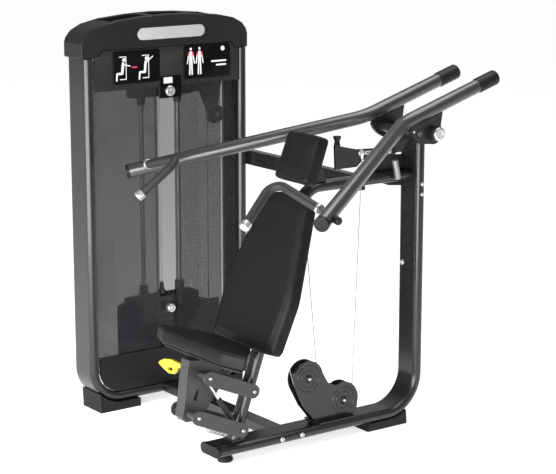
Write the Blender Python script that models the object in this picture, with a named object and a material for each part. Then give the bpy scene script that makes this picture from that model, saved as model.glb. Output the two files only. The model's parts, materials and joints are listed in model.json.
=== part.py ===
"""Selectorised shoulder press machine: weight tower, base frame, seat and press arms.

Metres, +Z up, floor at z = 0.  The user faces -Y; the weight tower stands on -X.
Every length below is laid out from the middle of the base beam; the finished model's
origin is under the front foot, so each object is placed at its layout point minus FOOT.
"""
import math

import bmesh
import bpy
from mathutils import Matrix, Vector
from mathutils.geometry import tessellate_polygon

# ---- general -------------------------------------------------------------
GAP = 0.0003                    # clearance between neighbouring pieces
FOOT = Vector((0.0, -0.243, 0.0))   # underside of the front foot, the model's origin
TUBE_W, TUBE_T = 0.12, 0.04     # flat-oval frame tube, width and thickness
BEAM_Z = 0.055                  # centre height of the floor tubes

# ---- weight tower ----------------------------------------------------------
TOWER_W = 0.145                 # width of the hoop tube, along X
TOWER_X = -0.8465               # centre plane of the hoop tube
TOWER_Y = 0.025                 # middle of the tower
TOWER_HALF = 0.365              # hoop centre line from the middle
TOWER_TOP = 1.4415              # ends of the hoop, under the cap
HOOP_R = 0.12                   # corner radius of the hoop's centre line
SHROUD_X = -0.792               # outer face of the front shrouds
ROD_X, ROD_DY = -0.850, 0.0875
STACK_Z0, PLATE_H, PLATES = 0.106, 0.027, 10

# ---- frame -------------------------------------------------------------------
BEAM_Y0, POST_Y, POST_TOP = -0.300, 0.655, 1.145
PIVOT = Vector((0.0, 0.655, 1.175))
UP_Y0, UP_SLOPE, UP_TOP_Z = -0.208, 0.362, 1.0     # inclined back rest tube
CROSS_Y, CROSS_Z = 0.43, 0.98

# ---- seat linkage ------------------------------------------------------------
REAR_HI = Vector((0.0, -0.163, 0.274))
REAR_LO = Vector((0.0, -0.214, 0.132))
LINK = Vector((0.0, -0.194, 0.084))
LINK_X0, LINK_T = 0.0663, 0.010
BAR_Y, BAR_Z = 0.585, 1.178      # cross bar between the arm brackets
LEVER_ROOT = -0.049              # the release lever's hinge, clear of the carriage

# ---- press arms ----------------------------------------------------------------
ARM_R = 0.027
ARM_TIP = Vector((0.622, -0.270, 1.015))
ARM_BEND = Vector((0.115, 0.506, 1.224))
ARM_TAIL = Vector((0.115, 0.878, 1.3385))
SLEEVE_END = Vector((0.115, 0.974, 1.368))

# colour, roughness and metallic of each finish
MATERIALS = {
    "frame": ((0.10, 0.10, 0.11), 0.35, 0.6),
    "black": ((0.02, 0.02, 0.02), 0.45, 0.0),
    "silver": ((0.7, 0.7, 0.7), 0.35, 0.9),
    "vinyl": ((0.03, 0.03, 0.03), 0.60, 0.0),
    "smoke": ((0.2, 0.2, 0.22), 0.15, 0.0),
    "yellow": ((0.9, 0.8, 0.02), 0.40, 0.0),
    "chrome": ((0.8, 0.8, 0.8), 0.12, 1.0),
    "steel": ((0.3, 0.3, 0.32), 0.40, 0.7),
    "cable": ((0.5, 0.5, 0.5), 0.40, 0.0),
    "arm": ((0.2, 0.2, 0.21), 0.30, 0.8),
    "foam": ((0.03, 0.03, 0.03), 0.80, 0.0),
}

for old in list(bpy.data.objects):
    bpy.data.objects.remove(old, do_unlink=True)

PART = bpy.data.collections.new("shoulder_press_machine")
CUTTERS = bpy.data.collections.new("cutters")
for coll in (PART, CUTTERS):
    bpy.context.scene.collection.children.link(coll)


# ---- builders --------------------------------------------------------------------
def finish(name, bm, colour, origin=(0, 0, 0), cutter=False, smooth=False):
    """Turn a bmesh into a named object whose origin sits at the given point."""
    bmesh.ops.recalc_face_normals(bm, faces=bm.faces)
    bmesh.ops.translate(bm, verts=bm.verts, vec=-Vector(origin))
    mesh = bpy.data.meshes.new(name)
    bm.to_mesh(mesh)
    bm.free()
    obj = bpy.data.objects.new(name, mesh)
    obj.location = Vector(origin) - FOOT
    (CUTTERS if cutter else PART).objects.link(obj)
    if cutter:
        obj.hide_render = True
        obj.display_type = "WIRE"
    mat = bpy.data.materials.new(name)
    mat.use_nodes = True
    shader = mat.node_tree.nodes["Principled BSDF"]
    tone, roughness, metallic = MATERIALS[colour]
    shader.inputs["Base Color"].default_value = (*tone, 1)
    shader.inputs["Roughness"].default_value = roughness
    shader.inputs["Metallic"].default_value = metallic
    mesh.materials.append(mat)
    if smooth:
        for poly in mesh.polygons:
            poly.use_smooth = len(poly.vertices) == 4
    return obj


def loft(name, rings, colour, closed=False, **kw):
    """Skin a list of equal rings; end caps unless the rings close on themselves."""
    bm = bmesh.new()
    grid = [[bm.verts.new(p) for p in ring] for ring in rings]
    count = len(grid[0])
    for i in range(len(grid) if closed else len(grid) - 1):
        a, b = grid[i], grid[(i + 1) % len(grid)]
        for j in range(count):
            k = (j + 1) % count
            bm.faces.new((a[j], a[k], b[k], b[j]))
    if not closed:
        bm.faces.new(grid[0])
        bm.faces.new(grid[-1][::-1])
    return finish(name, bm, colour, **kw)


def prism(name, outline, axis, low, high, colour, holes=(), **kw):
    """Extrude a 2-D outline with through holes along X (y, z), Y (x, z) or Z (x, y)."""
    place = {"X": lambda p, w: Vector((w, p[0], p[1])),
             "Y": lambda p, w: Vector((p[0], w, p[1])),
             "Z": lambda p, w: Vector((p[0], p[1], w))}[axis]
    loops = [list(outline)] + [list(h) for h in holes]
    tris = tessellate_polygon([[Vector((p[0], p[1], 0)) for p in loop] for loop in loops])
    bm = bmesh.new()
    flat = [p for loop in loops for p in loop]
    lo = [bm.verts.new(place(p, low)) for p in flat]
    hi = [bm.verts.new(place(p, high)) for p in flat]
    for a, b, c in tris:
        bm.faces.new((lo[a], lo[b], lo[c]))
        bm.faces.new((hi[c], hi[b], hi[a]))
    start = 0
    for loop in loops:
        n = len(loop)
        for j in range(n):
            a, b = start + j, start + (j + 1) % n
            bm.faces.new((lo[a], lo[b], hi[b], hi[a]))
        start += n
    return finish(name, bm, colour, **kw)


def circle(cx, cy, r, n=16, start=0.0, stop=2 * math.pi):
    """Points of a full circle, or of an arc with both ends when it is open."""
    full = abs(stop - start - 2 * math.pi) < 1e-6
    steps = n if full else n + 1
    return [(cx + r * math.cos(start + (stop - start) * i / n),
             cy + r * math.sin(start + (stop - start) * i / n)) for i in range(steps)]


def racetrack(width, thick, n=5, grow=0.0):
    """Flat-oval section: long way first, short way second."""
    r = thick / 2 + grow
    half = width / 2 - thick / 2
    return (circle(half, 0, r, n, -math.pi / 2, math.pi / 2)
            + circle(-half, 0, r, n, math.pi / 2, 3 * math.pi / 2))


def rounded(points, radii, steps=6):
    """Round the inner corners of a 3-D polyline."""
    pts = [Vector(p) for p in points]
    out = [pts[0]]
    for i in range(1, len(pts) - 1):
        a, b, c = pts[i - 1], pts[i], pts[i + 1]
        u, v = (a - b).normalized(), (c - b).normalized()
        half = u.angle(v) / 2
        cut = radii[i - 1] / math.tan(half)
        centre = b + (u + v).normalized() * (radii[i - 1] / math.sin(half))
        p, q = b + u * cut - centre, b + v * cut - centre
        total = p.angle(q)
        for k in range(steps + 1):
            t = k / steps
            w = (p * math.sin((1 - t) * total) + q * math.sin(t * total)) / math.sin(total)
            out.append(centre + w)
    out.append(pts[-1])
    return out


def sweep_flat(name, path, section, colour, **kw):
    """Sweep a section along a path in a Y-Z plane; its first axis stays along X."""
    rings = []
    for i, p in enumerate(path):
        a = (p - path[i - 1]).normalized() if i else None
        b = (path[i + 1] - p).normalized() if i + 1 < len(path) else None
        t = ((a or b) + (b or a)).normalized()
        stretch = 1 / max(t.dot(a or b), 0.5)
        normal = Vector((0, -t.z, t.y)) * stretch
        rings.append([p + Vector((s, 0, 0)) + normal * n for s, n in section])
    return loft(name, rings, colour, smooth=True, **kw)


def sweep_round(name, path, radius, sides, colour, **kw):
    """Sweep a circle along any 3-D path with transported frames."""
    tangents = []
    for i in range(len(path)):
        a = path[max(i - 1, 0)]
        b = path[min(i + 1, len(path) - 1)]
        tangents.append((b - a).normalized())
    side = tangents[0].orthogonal().normalized()
    rings = []
    for p, t in zip(path, tangents):
        side = (side - t * side.dot(t)).normalized()
        other = t.cross(side)
        rings.append([p + (side * math.cos(q) + other * math.sin(q)) * radius
                      for q in (2 * math.pi * j / sides for j in range(sides))])
    return loft(name, rings, colour, smooth=True, **kw)


def lathe(name, start, direction, profile, colour, sides=24, closed=False, **kw):
    """Turn a profile of (distance, radius) about an axis."""
    d = Vector(direction).normalized()
    side = d.orthogonal().normalized()
    other = d.cross(side)
    rings = [[Vector(start) + d * s + (side * math.cos(q) + other * math.sin(q)) * r
              for q in (2 * math.pi * j / sides for j in range(sides))] for s, r in profile]
    return loft(name, rings, colour, closed=closed, smooth=True, **kw)


def box(x0, x1, y0, y1):
    """Rectangle outline."""
    return [(x0, y0), (x1, y0), (x1, y1), (x0, y1)]


def inset(outline, d):
    """Move a convex outline inwards by a distance."""
    n = len(outline)
    pts = [Vector(p) for p in outline]
    area = sum(pts[i].x * pts[(i + 1) % n].y - pts[(i + 1) % n].x * pts[i].y for i in range(n))
    sign = 1 if area > 0 else -1
    out = []
    for i, p in enumerate(pts):
        a = (p - pts[i - 1]).normalized()
        b = (pts[(i + 1) % n] - p).normalized()
        na, nb = Vector((-a.y, a.x)) * sign, Vector((-b.y, b.x)) * sign
        m = (na + nb).normalized()
        out.append(p + m * (d / max(m.dot(na), 0.4)))
    return out


def pad(name, outline, place, thick, edge, colour="vinyl", **kw):
    """Cushion: a convex outline with softened front and back edges."""
    levels = ((0.0, edge), (edge * 0.8, edge * 0.15), (edge * 1.2, 0.0),
              (thick - 0.008, 0.0), (thick, 0.006))
    rings = []
    for depth, shrink in levels:
        rings.append([place @ Vector((p.x, p.y, -depth)) for p in inset(outline, shrink)])
    return loft(name, rings, colour, **kw)


def modify(obj, tool, operation):
    """Exact boolean of one object with a hidden operand."""
    mod = obj.modifiers.new(operation.lower(), "BOOLEAN")
    mod.operation = operation
    mod.solver = "EXACT"
    mod.object = tool


def stadium(a, b, ra, rb, n=8):
    """Hull of two circles in the plane, used for links and guard plates."""
    a, b = Vector(a), Vector(b)
    d = b - a
    base = math.atan2(d.y, d.x)
    lean = math.acos((ra - rb) / d.length)
    return (circle(b.x, b.y, rb, n, base - lean, base + lean)
            + circle(a.x, a.y, ra, n, base + lean, base + 2 * math.pi - lean))


# ---- weight tower -----------------------------------------------------------------
def build_tower():
    """Hoop, cap, covers, placards and feet."""
    y0, y1 = TOWER_Y - TOWER_HALF, TOWER_Y + TOWER_HALF
    hoop = rounded([(TOWER_X, y0, TOWER_TOP), (TOWER_X, y0, BEAM_Z), (TOWER_X, y1, BEAM_Z),
                    (TOWER_X, y1, TOWER_TOP)], (HOOP_R, HOOP_R), 7)
    sweep_flat("tower_frame", hoop, racetrack(TOWER_W, TUBE_T), "frame")

    half = [(0.395, 1.442), (0.395, 1.500), (0.388, 1.520), (0.366, 1.545), (0.320, 1.568),
            (0.240, 1.585), (0.120, 1.596)]
    lower = [(0.330, 1.442), (0.308, 1.4725)]
    cap = [(TOWER_Y - y, z) for y, z in reversed(lower)] + [(TOWER_Y - y, z) for y, z in half]
    cap += [(TOWER_Y, 1.600)] + [(TOWER_Y + y, z) for y, z in reversed(half)]
    cap += [(TOWER_Y + y, z) for y, z in lower]
    cap_obj = prism("tower_cap", cap, "X", -0.925, -0.768, "black")
    for i, (ya, yb) in enumerate(((-0.245, -0.075), (-0.045, 0.105), (0.135, 0.285))):
        tray = prism(f"tray_{i}", box(-0.908, -0.800, TOWER_Y + ya - 0.01, TOWER_Y + yb - 0.01),
                     "Z", 1.566, 1.65, "black", cutter=True)
        modify(cap_obj, tray, "DIFFERENCE")
    pill = stadium((-0.102, 1.527), (0.168, 1.527), 0.026, 0.026)
    prism("badge", pill, "X", -0.768 + GAP, -0.762, "silver")

    header = [(-0.317, 1.310), (-0.018, 1.310), (-0.018, 1.262), (0.085, 1.262), (0.085, 1.310),
              (0.367, 1.310), (0.367, 1.4415), (0.350, 1.4415), (0.330, 1.470), (-0.280, 1.470),
              (-0.300, 1.4415), (-0.317, 1.4415)]
    prism("header_panel", header, "X", -0.788, -0.778, "black")
    prism("placard_left", box(-0.234, -0.018, 1.334, 1.464), "X", -0.778 + GAP, -0.773, "black")
    prism("placard_right", box(0.098, 0.322, 1.332, 1.466), "X", -0.778 + GAP, -0.773, "black")

    x, t = SHROUD_X, 0.004
    for name, sign in (("front_shroud_left", -1), ("front_shroud_right", 1)):
        plan = [(x - 0.028, 0.341), (x, 0.257), (x, 0.045), (x - 0.0195, 0.045),
                (x - 0.0195, 0.045 + t), (x - t, 0.045 + t), (x - t, 0.257 - 0.0006),
                (x - 0.028 - 0.0038, 0.341 - 0.0012)]
        plan = [(px, TOWER_Y + sign * py) for px, py in plan]
        prism(name, plan, "Z", 0.152, 1.43, "smoke")
    prism("rear_shroud", box(TOWER_Y - 0.341, TOWER_Y + 0.341, 0.152, 1.438), "X", -0.9125, -0.9085,
          "smoke")
    corner = circle(TOWER_HALF - HOOP_R, BEAM_Z + HOOP_R, HOOP_R - TUBE_T / 2 - 0.002, 6,
                    math.radians(-90), math.radians(-8))
    cover = corner + [(0.341, 0.228), (-0.341, 0.228)] + [(-y, z) for y, z in reversed(corner)]
    prism("base_cover", [(TOWER_Y + y, z) for y, z in cover], "X", -0.7915, -0.779, "black")

    for name, sign in (("tower_foot_left", -1), ("tower_foot_right", 1)):
        arc = circle(0, 0, 0.14 + 2 * GAP, 6, math.radians(-90), math.radians(-42))
        top = [(TOWER_HALF - HOOP_R + p[0], BEAM_Z + HOOP_R + p[1]) for p in arc]
        outline = [(0.160, 0.0), (0.350, 0.0), (top[-1][0] + 0.004, top[-1][1])] + top[::-1]
        outline += [(0.160, top[0][1])]
        prism(name, [(TOWER_Y + sign * y, z) for y, z in outline], "X", -0.912, -0.768, "black")


def build_stack():
    """Guide rods, weight stack and the pulley run inside the tower."""
    prism("stack_base", box(-0.888, -0.812, -0.134, 0.184), "Z", 0.0755, STACK_Z0 - GAP, "steel")
    rods = [TOWER_Y - ROD_DY, TOWER_Y + ROD_DY]
    for name, y in zip(("guide_rod_left", "guide_rod_right"), rods):
        lathe(name, (ROD_X, y, STACK_Z0), (0, 0, 1), [(0, 0.010), (1.2625 - STACK_Z0 - GAP, 0.010)],
              "chrome", 16)
    holes = [circle(ROD_X, y, 0.0105, 16) for y in rods]
    z = STACK_Z0
    plate = box(-0.888, -0.812, -0.134, 0.184)
    low = prism("stack_plates", plate, "Z", z, z + PLATES * PLATE_H - GAP, "black", holes=holes)
    for i in range(1, PLATES):
        zc = z + i * PLATE_H
        groove = prism(f"groove_{i}", box(-0.80, -0.8145, -0.30, 0.30), "Z", zc - 0.001, zc + 0.001,
                       "black", cutter=True)
        modify(low, groove, "DIFFERENCE")
    z += PLATES * PLATE_H
    pin_z = z + 0.0135
    lift = prism("stack_lifted", plate, "Z", z, z + 0.058, "black", holes=holes)
    groove = prism("groove_top", box(-0.80, -0.8145, -0.30, 0.30), "Z", z + 0.026, z + 0.028,
                   "black", cutter=True)
    bore = lathe("pin_bore", (-0.84, TOWER_Y, pin_z), (1, 0, 0), [(0, 0.0045), (0.06, 0.0045)],
                 "black", 12, cutter=True)
    modify(lift, groove, "DIFFERENCE")
    modify(lift, bore, "DIFFERENCE")
    top = z + 0.058
    lathe("selector_pin", (-0.838, TOWER_Y, pin_z), (1, 0, 0),
          [(0, 0.004), (0.034, 0.004), (0.034, 0.014), (0.042, 0.019), (0.062, 0.019), (0.068, 0.014)],
          "silver", 16)
    lathe("selector_stem", (ROD_X, TOWER_Y, top + GAP), (0, 0, 1),
          [(0, 0.022), (0.012, 0.022), (0.020, 0.010), (0.052, 0.008)], "steel", 16)
    sweep_round("cable_stack", [Vector((ROD_X, TOWER_Y, top + 0.0526)),
                                Vector((ROD_X, TOWER_Y, 1.2615))], 0.0025, 8, "cable")

    bracket = [(-0.115, 1.2625), (0.235, 1.2625), (0.285, 1.140), (0.313, 1.140), (0.345, 1.300),
               (-0.115, 1.300)]
    hanger = prism("rod_top_bracket", bracket, "X", -0.876, -0.868, "black")
    shelf = prism("bracket_shelf", box(-0.872, -0.826, -0.113, 0.163), "Z", 1.264, 1.2985, "black",
                  cutter=True)
    axle = lathe("pulley_axle", (-0.870, 0.299, 1.165), (1, 0, 0), [(0, 0.008), (0.036, 0.008)],
                 "black", 12, cutter=True)
    modify(hanger, shelf, "UNION")
    modify(hanger, axle, "UNION")
    wheel("tower_pulley", Vector((-0.854, 0.299, 1.165)), 0.040, 0.009, 0.0083, 12)
    r = 0.0385
    over = [Vector((-0.854, 0.299 - r * math.cos(a), 1.165 + r * math.sin(a)))
            for a in (math.pi * k / 10 for k in range(11))]
    run = [Vector((-0.854, 0.299 - r, 0.30))] + over + [Vector((-0.854, 0.299 + r, 0.30))]
    sweep_round("cable_tower", run, 0.0025, 8, "cable")


def wheel(name, centre, radius, half, bore, sides=24):
    """Grooved cable pulley with a plain bore, turned about X."""
    rim, seat = radius, radius - 0.005
    profile = [(-half, bore), (-half, rim), (-half + 0.004, rim), (-0.0015, seat), (0.0015, seat),
               (half - 0.004, rim), (half, rim), (half, bore)]
    lathe(name, centre, (1, 0, 0), profile, "black", max(sides, 24), closed=True, origin=centre)


# ---- base frame ----------------------------------------------------------------------
def upright_point(z, front=0.0):
    """Point on the inclined tube's centre line, or in front of it."""
    lean = math.hypot(1, UP_SLOPE)
    return Vector((0, UP_Y0 + UP_SLOPE * (z - 0.075) - front / lean, z + front * UP_SLOPE / lean))


def build_frame():
    """Base beam with rear post, cross tubes, inclined upright and feet."""
    path = rounded([(0, BEAM_Y0, BEAM_Z), (0, POST_Y, BEAM_Z), (0, POST_Y, POST_TOP)], (0.15,), 8)
    frame = sweep_flat("main_frame_tube", path, racetrack(TUBE_W, TUBE_T), "frame")
    saddle = lathe("saddle", (-0.15, PIVOT.y, PIVOT.z), (1, 0, 0), [(0, 0.0383), (0.30, 0.0383)],
                   "frame", 32, cutter=True)
    modify(frame, saddle, "DIFFERENCE")
    rings = [[Vector((a, y, BEAM_Z + b)) for a, b in racetrack(TUBE_W + 0.004 - 2 * s,
                                                                TUBE_T + 0.004 - 2 * s)]
             for y, s in ((BEAM_Y0 - 0.014, 0.004), (BEAM_Y0 - 0.010, 0.0), (BEAM_Y0 - GAP, 0.0))]
    loft("beam_end_cap", rings, "black")
    lathe("front_foot", (0, -0.243, 0), (0, 0, 1), [(0, 0.028), (0.008, 0.030), (0.022, 0.024),
                                                    (0.035 - GAP, 0.024)], "black", 24)
    arc = circle(POST_Y - 0.15, BEAM_Z + 0.15, 0.17 + 2 * GAP, 5, math.radians(-90),
                 math.radians(-58))
    foot = [(0.400, 0.0), (0.600, 0.0)] + arc[::-1] + [(0.415, arc[0][1])]
    prism("rear_foot", foot, "X", -0.056, 0.056, "black")

    seat = racetrack(0.06, TUBE_T)
    base = upright_point(0.075 + 0.012)
    bend = Vector((0, UP_Y0 + UP_SLOPE * (UP_TOP_Z - 0.075), UP_TOP_Z))
    path = rounded([base, bend, (0, POST_Y - 0.02 - GAP, UP_TOP_Z)], (0.09,), 7)
    upright = sweep_flat("backrest_upright", path, seat, "frame")
    for i, pin in enumerate((REAR_HI, REAR_LO)):
        rod = lathe(f"rear_rod_{i}", pin - Vector((0.082, 0, 0)), (1, 0, 0),
                    [(0, 0.006), (0.0157 + GAP, 0.006), (0.0157 + GAP, 0.0135),
                     (0.1483 - GAP, 0.0135), (0.1483 - GAP, 0.006), (0.164, 0.006)], "frame", 16,
                    cutter=True)
        modify(upright, rod, "UNION")
    sole = prism("sole", box(-0.035, 0.035, -0.225, -0.175), "Z", 0.0755, 0.110, "frame", cutter=True)
    modify(upright, sole, "UNION")
    gusset = [(0.405, 1.012), (0.560, 0.958), (0.6345, 0.950), (0.6345, 1.075), (0.560, 1.080),
              (0.515, 1.083)]
    prism("post_gusset", gusset, "X", -0.036, -0.030 - GAP, "black")

    low = prism("lower_cross_tube", box(-0.015, 0.050, 0.037, 0.073), "X", -0.790, -0.045, "frame")
    high = prism("upper_cross_tube", box(CROSS_Y - 0.0195, CROSS_Y + 0.02, 0.950, 1.010), "X",
                 -0.860, -0.015, "frame")
    cut_a = sweep_flat("tower_cut", [Vector((TOWER_X, -0.2, BEAM_Z)), Vector((TOWER_X, 0.2, BEAM_Z))],
                       racetrack(TOWER_W, TUBE_T, grow=GAP), "frame", cutter=True)
    cut_b = sweep_flat("beam_cut", [Vector((0, -0.2, BEAM_Z)), Vector((0, 0.2, BEAM_Z))],
                       racetrack(TUBE_W, TUBE_T, grow=GAP), "frame", cutter=True)
    cut_c = sweep_flat("upright_cut", [Vector((0, 0.3, UP_TOP_Z)), Vector((0, 0.6, UP_TOP_Z))],
                       racetrack(0.06, TUBE_T, grow=GAP), "frame", cutter=True)
    modify(low, cut_a, "DIFFERENCE")
    modify(low, cut_b, "DIFFERENCE")
    modify(high, cut_c, "DIFFERENCE")
    clip = prism("end_clip", box(-0.0365, 0.05, 0.3, 0.6), "Z", 0.9, 1.1, "frame", cutter=True)
    modify(high, clip, "DIFFERENCE")

    housing = [(-0.060, 0.0155), (-0.060, 0.038), (0.060, 0.038), (0.060, 0.0155)]
    lathe("pivot_housing", PIVOT, (1, 0, 0), housing, "black", 32, closed=True)
    lathe("stop_post", (0.043, 0.5453, 0.9965), (0, -0.22, 0.9755),
          [(0, 0.0125), (0.078, 0.0125), (0.078, 0.009), (0.090, 0.009)], "chrome", 20)


# ---- pads --------------------------------------------------------------------------------
def build_pads():
    """Back rest, head rest and seat cushions."""
    lean = math.atan(0.383)
    frame = Matrix.Translation((0, -0.177, 0.433)) @ Matrix.Rotation(math.pi / 2 - lean, 4, "X")
    half = [(0.100, 0.0), (0.190, 0.006), (0.204, 0.020), (0.216, 0.200), (0.214, 0.235),
            (0.150, 0.562), (0.138, 0.580), (0.118, 0.590), (0.060, 0.604)]
    outline = [Vector(p) for p in half] + [Vector((0, 0.611))]
    outline += [Vector((-x, y)) for x, y in reversed(half)] + [Vector((0, 0))]
    pad("back_pad", outline, frame, 0.054, 0.016)

    head = Matrix.Translation((0, 0.048, 1.035)) @ Matrix.Rotation(math.pi / 2 - lean, 4, "X")
    w = 0.106
    outline = [(w - 0.012, 0), (w, 0.012), (w - 0.004, 0.183), (w - 0.016, 0.195),
               (-w + 0.016, 0.195), (-w + 0.004, 0.183), (-w, 0.012), (-w + 0.012, 0)]
    pad("head_pad", [Vector(p) for p in outline], head, 0.062, 0.014)
    stem = [(0.150, 1.0206), (0.215, 1.0206), (0.195, 1.060), (0.178, 1.155), (0.170, 1.155),
            (0.1405, 1.080)]
    prism("head_bracket", stem, "X", -0.025, 0.025, "black")

    tilt = math.atan(0.18)
    seat = Matrix.Translation((0, -0.390, 0.500)) @ Matrix.Rotation(-tilt, 4, "X")
    half = [(0.190, 0.0), (0.200, 0.003), (0.284, 0.036), (0.291, 0.048), (0.283, 0.062),
            (0.122, 0.190), (0.108, 0.200)]
    outline = [Vector(p) for p in half] + [Vector((-x, y)) for x, y in reversed(half)]
    pad("seat_cushion", outline, seat, 0.062, 0.013)


# ---- seat linkage ------------------------------------------------------------------------
def build_seat_linkage():
    """Parallelogram links, carriage, gas strut, bumper and release lever."""
    front_hi, front_lo = REAR_HI + LINK, REAR_LO + LINK
    reach = {"upper": (REAR_HI, front_hi), "lower": (REAR_LO, front_lo)}
    for name, (rear, front) in reach.items():
        outline = stadium(rear.yz, front.yz, 0.027, 0.027)
        obj = prism(f"seat_link_{name}", outline, "X", LINK_X0, LINK_X0 + LINK_T, "steel",
                    holes=[circle(rear.y, rear.z, 0.0063, 16)], origin=rear)
        far = prism(f"far_{name}", outline, "X", -LINK_X0 - LINK_T, -LINK_X0, "steel",
                    holes=[circle(rear.y, rear.z, 0.0063, 16)], cutter=True)
        rod = lathe(f"front_rod_{name}", front - Vector((0.071, 0, 0)), (1, 0, 0),
                    [(0, 0.0135), (0.142, 0.0135)], "steel", 16, cutter=True)
        modify(obj, far, "UNION")
        modify(obj, rod, "UNION")
    side = [(-0.402, 0.418), (-0.408, 0.395), (-0.428, 0.236), (-0.436, 0.205), (-0.420, 0.185),
            (-0.392, 0.184), (-0.330, 0.215), (-0.262, 0.300), (-0.262, 0.398)]
    slot = stadium((-0.376, 0.268), (-0.366, 0.296), 0.008, 0.008, 5)
    holes = [circle(front_hi.y, front_hi.z, 0.0138, 16), circle(front_lo.y, front_lo.z, 0.0138, 16),
             slot]
    prism("seat_carriage", side, "X", -0.046, 0.006, "steel", holes=holes, origin=front_hi)

    axis = (front_hi - REAR_LO)
    length, unit = axis.length, axis.normalized()
    start = REAR_LO + Vector((0.034, 0, 0))
    lathe("strut_barrel", start, unit,
          [(0.150, 0.0054), (0.150, 0.011), (0.016, 0.011), (0.016, 0.003), (0.030, 0.003),
           (0.034, 0.0054)], "black", 16, closed=True, origin=REAR_LO)
    lathe("strut_rod", start, unit, [(0.120, 0.005), (length - 0.020, 0.005)], "chrome", 12,
          origin=REAR_LO)

    d = LINK.normalized()
    tip = Vector((0, -0.318, 0.143))
    ribs = []
    for i in range(5):
        ribs += [(0.018 * i, 0.017), (0.018 * i + 0.011, 0.017), (0.018 * i + 0.013, 0.0155),
                 (0.018 * i + 0.016, 0.0155)]
    bumper = lathe("seat_bumper", tip, -d, ribs, "silver", 16)
    clear = prism("bumper_clear", box(-0.0355, 0.0355, -0.232, -0.1), "Z", 0.07, 0.2, "silver",
                  cutter=True)
    modify(bumper, clear, "DIFFERENCE")

    blade = [(LEVER_ROOT, 0.392), (-0.075, 0.392), (-0.120, 0.394), (-0.165, 0.386), (-0.198, 0.370),
             (-0.203, 0.364), (-0.198, 0.358), (-0.165, 0.346), (-0.135, 0.338), (-0.100, 0.342),
             (-0.086, 0.352), (-0.075, 0.372), (LEVER_ROOT, 0.376)]
    hole = stadium((-0.112, 0.358), (-0.138, 0.354), 0.006, 0.006, 5)
    prism("seat_lever", blade, "Y", -0.404, -0.392, "yellow", holes=[hole],
          origin=(LEVER_ROOT, -0.398, 0.384))


# ---- floor pulleys ---------------------------------------------------------------------------
FRONT_PULLEY = Vector((0, 0.132, 0.258))
REAR_PULLEY = Vector((0, 0.302, 0.143))


def build_floor_pulleys():
    """Two cable pulleys between guard plates on the base beam."""
    a, b = FRONT_PULLEY.yz, REAR_PULLEY.yz
    outline = [(0.170, 0.0755), (0.345, 0.0755), (0.370, 0.105)]
    outline += circle(b.x, b.y, 0.073, 8, 0.0, math.radians(118))
    outline += [(0.226, 0.228)]
    outline += circle(a.x, a.y, 0.070, 12, math.radians(10), math.radians(205))
    outline += [(0.110, 0.150)]
    near = prism("floor_pulley_bracket", outline, "X", 0.0165, 0.0215, "black")
    far = prism("guard_far", outline, "X", -0.0215, -0.0165, "black", cutter=True)
    foot = prism("guard_foot", box(-0.052, 0.052, 0.165, 0.340), "Z", 0.0755, 0.0805, "black",
                 cutter=True)
    modify(near, far, "UNION")
    modify(near, foot, "UNION")
    for i, hub in enumerate((FRONT_PULLEY, REAR_PULLEY)):
        axle = lathe(f"axle_{i}", hub - Vector((0.028, 0, 0)), (1, 0, 0),
                     [(0, 0.007), (0.056, 0.007)], "black", 16, cutter=True)
        modify(near, axle, "UNION")
    wheel("front_pulley", FRONT_PULLEY, 0.0575, 0.011, 0.0073)
    wheel("rear_pulley", REAR_PULLEY, 0.0575, 0.011, 0.0073)


def build_cables():
    """Tensioned runs from the lever to the pulleys and on to the tower."""
    r = 0.0575
    c, top = REAR_PULLEY, Vector((0.050, 0.3605, 1.092))
    angles = [math.radians(t) for t in (0, -25, -50, -75, -100, -125, -150, -165)]
    wrap = [c + Vector((0, r * math.cos(a), r * math.sin(a))) for a in angles]
    sweep_round("cable_arm", [top] + wrap + [FRONT_PULLEY + Vector((0, 0.066, -0.085))], 0.002, 8,
                "cable")
    c = FRONT_PULLEY
    angles = [math.radians(t) for t in (5, -20, -45, -70, -95, -120, -145, -165)]
    wrap = [c + Vector((0, r * math.cos(a), r * math.sin(a))) for a in angles]
    lead = [Vector((0, 0.124, 0.905))]
    sweep_round("cable_front", lead[::-1] + wrap + [c + Vector((0, -0.075, 0.045))], 0.002, 8,
                "cable")


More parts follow.
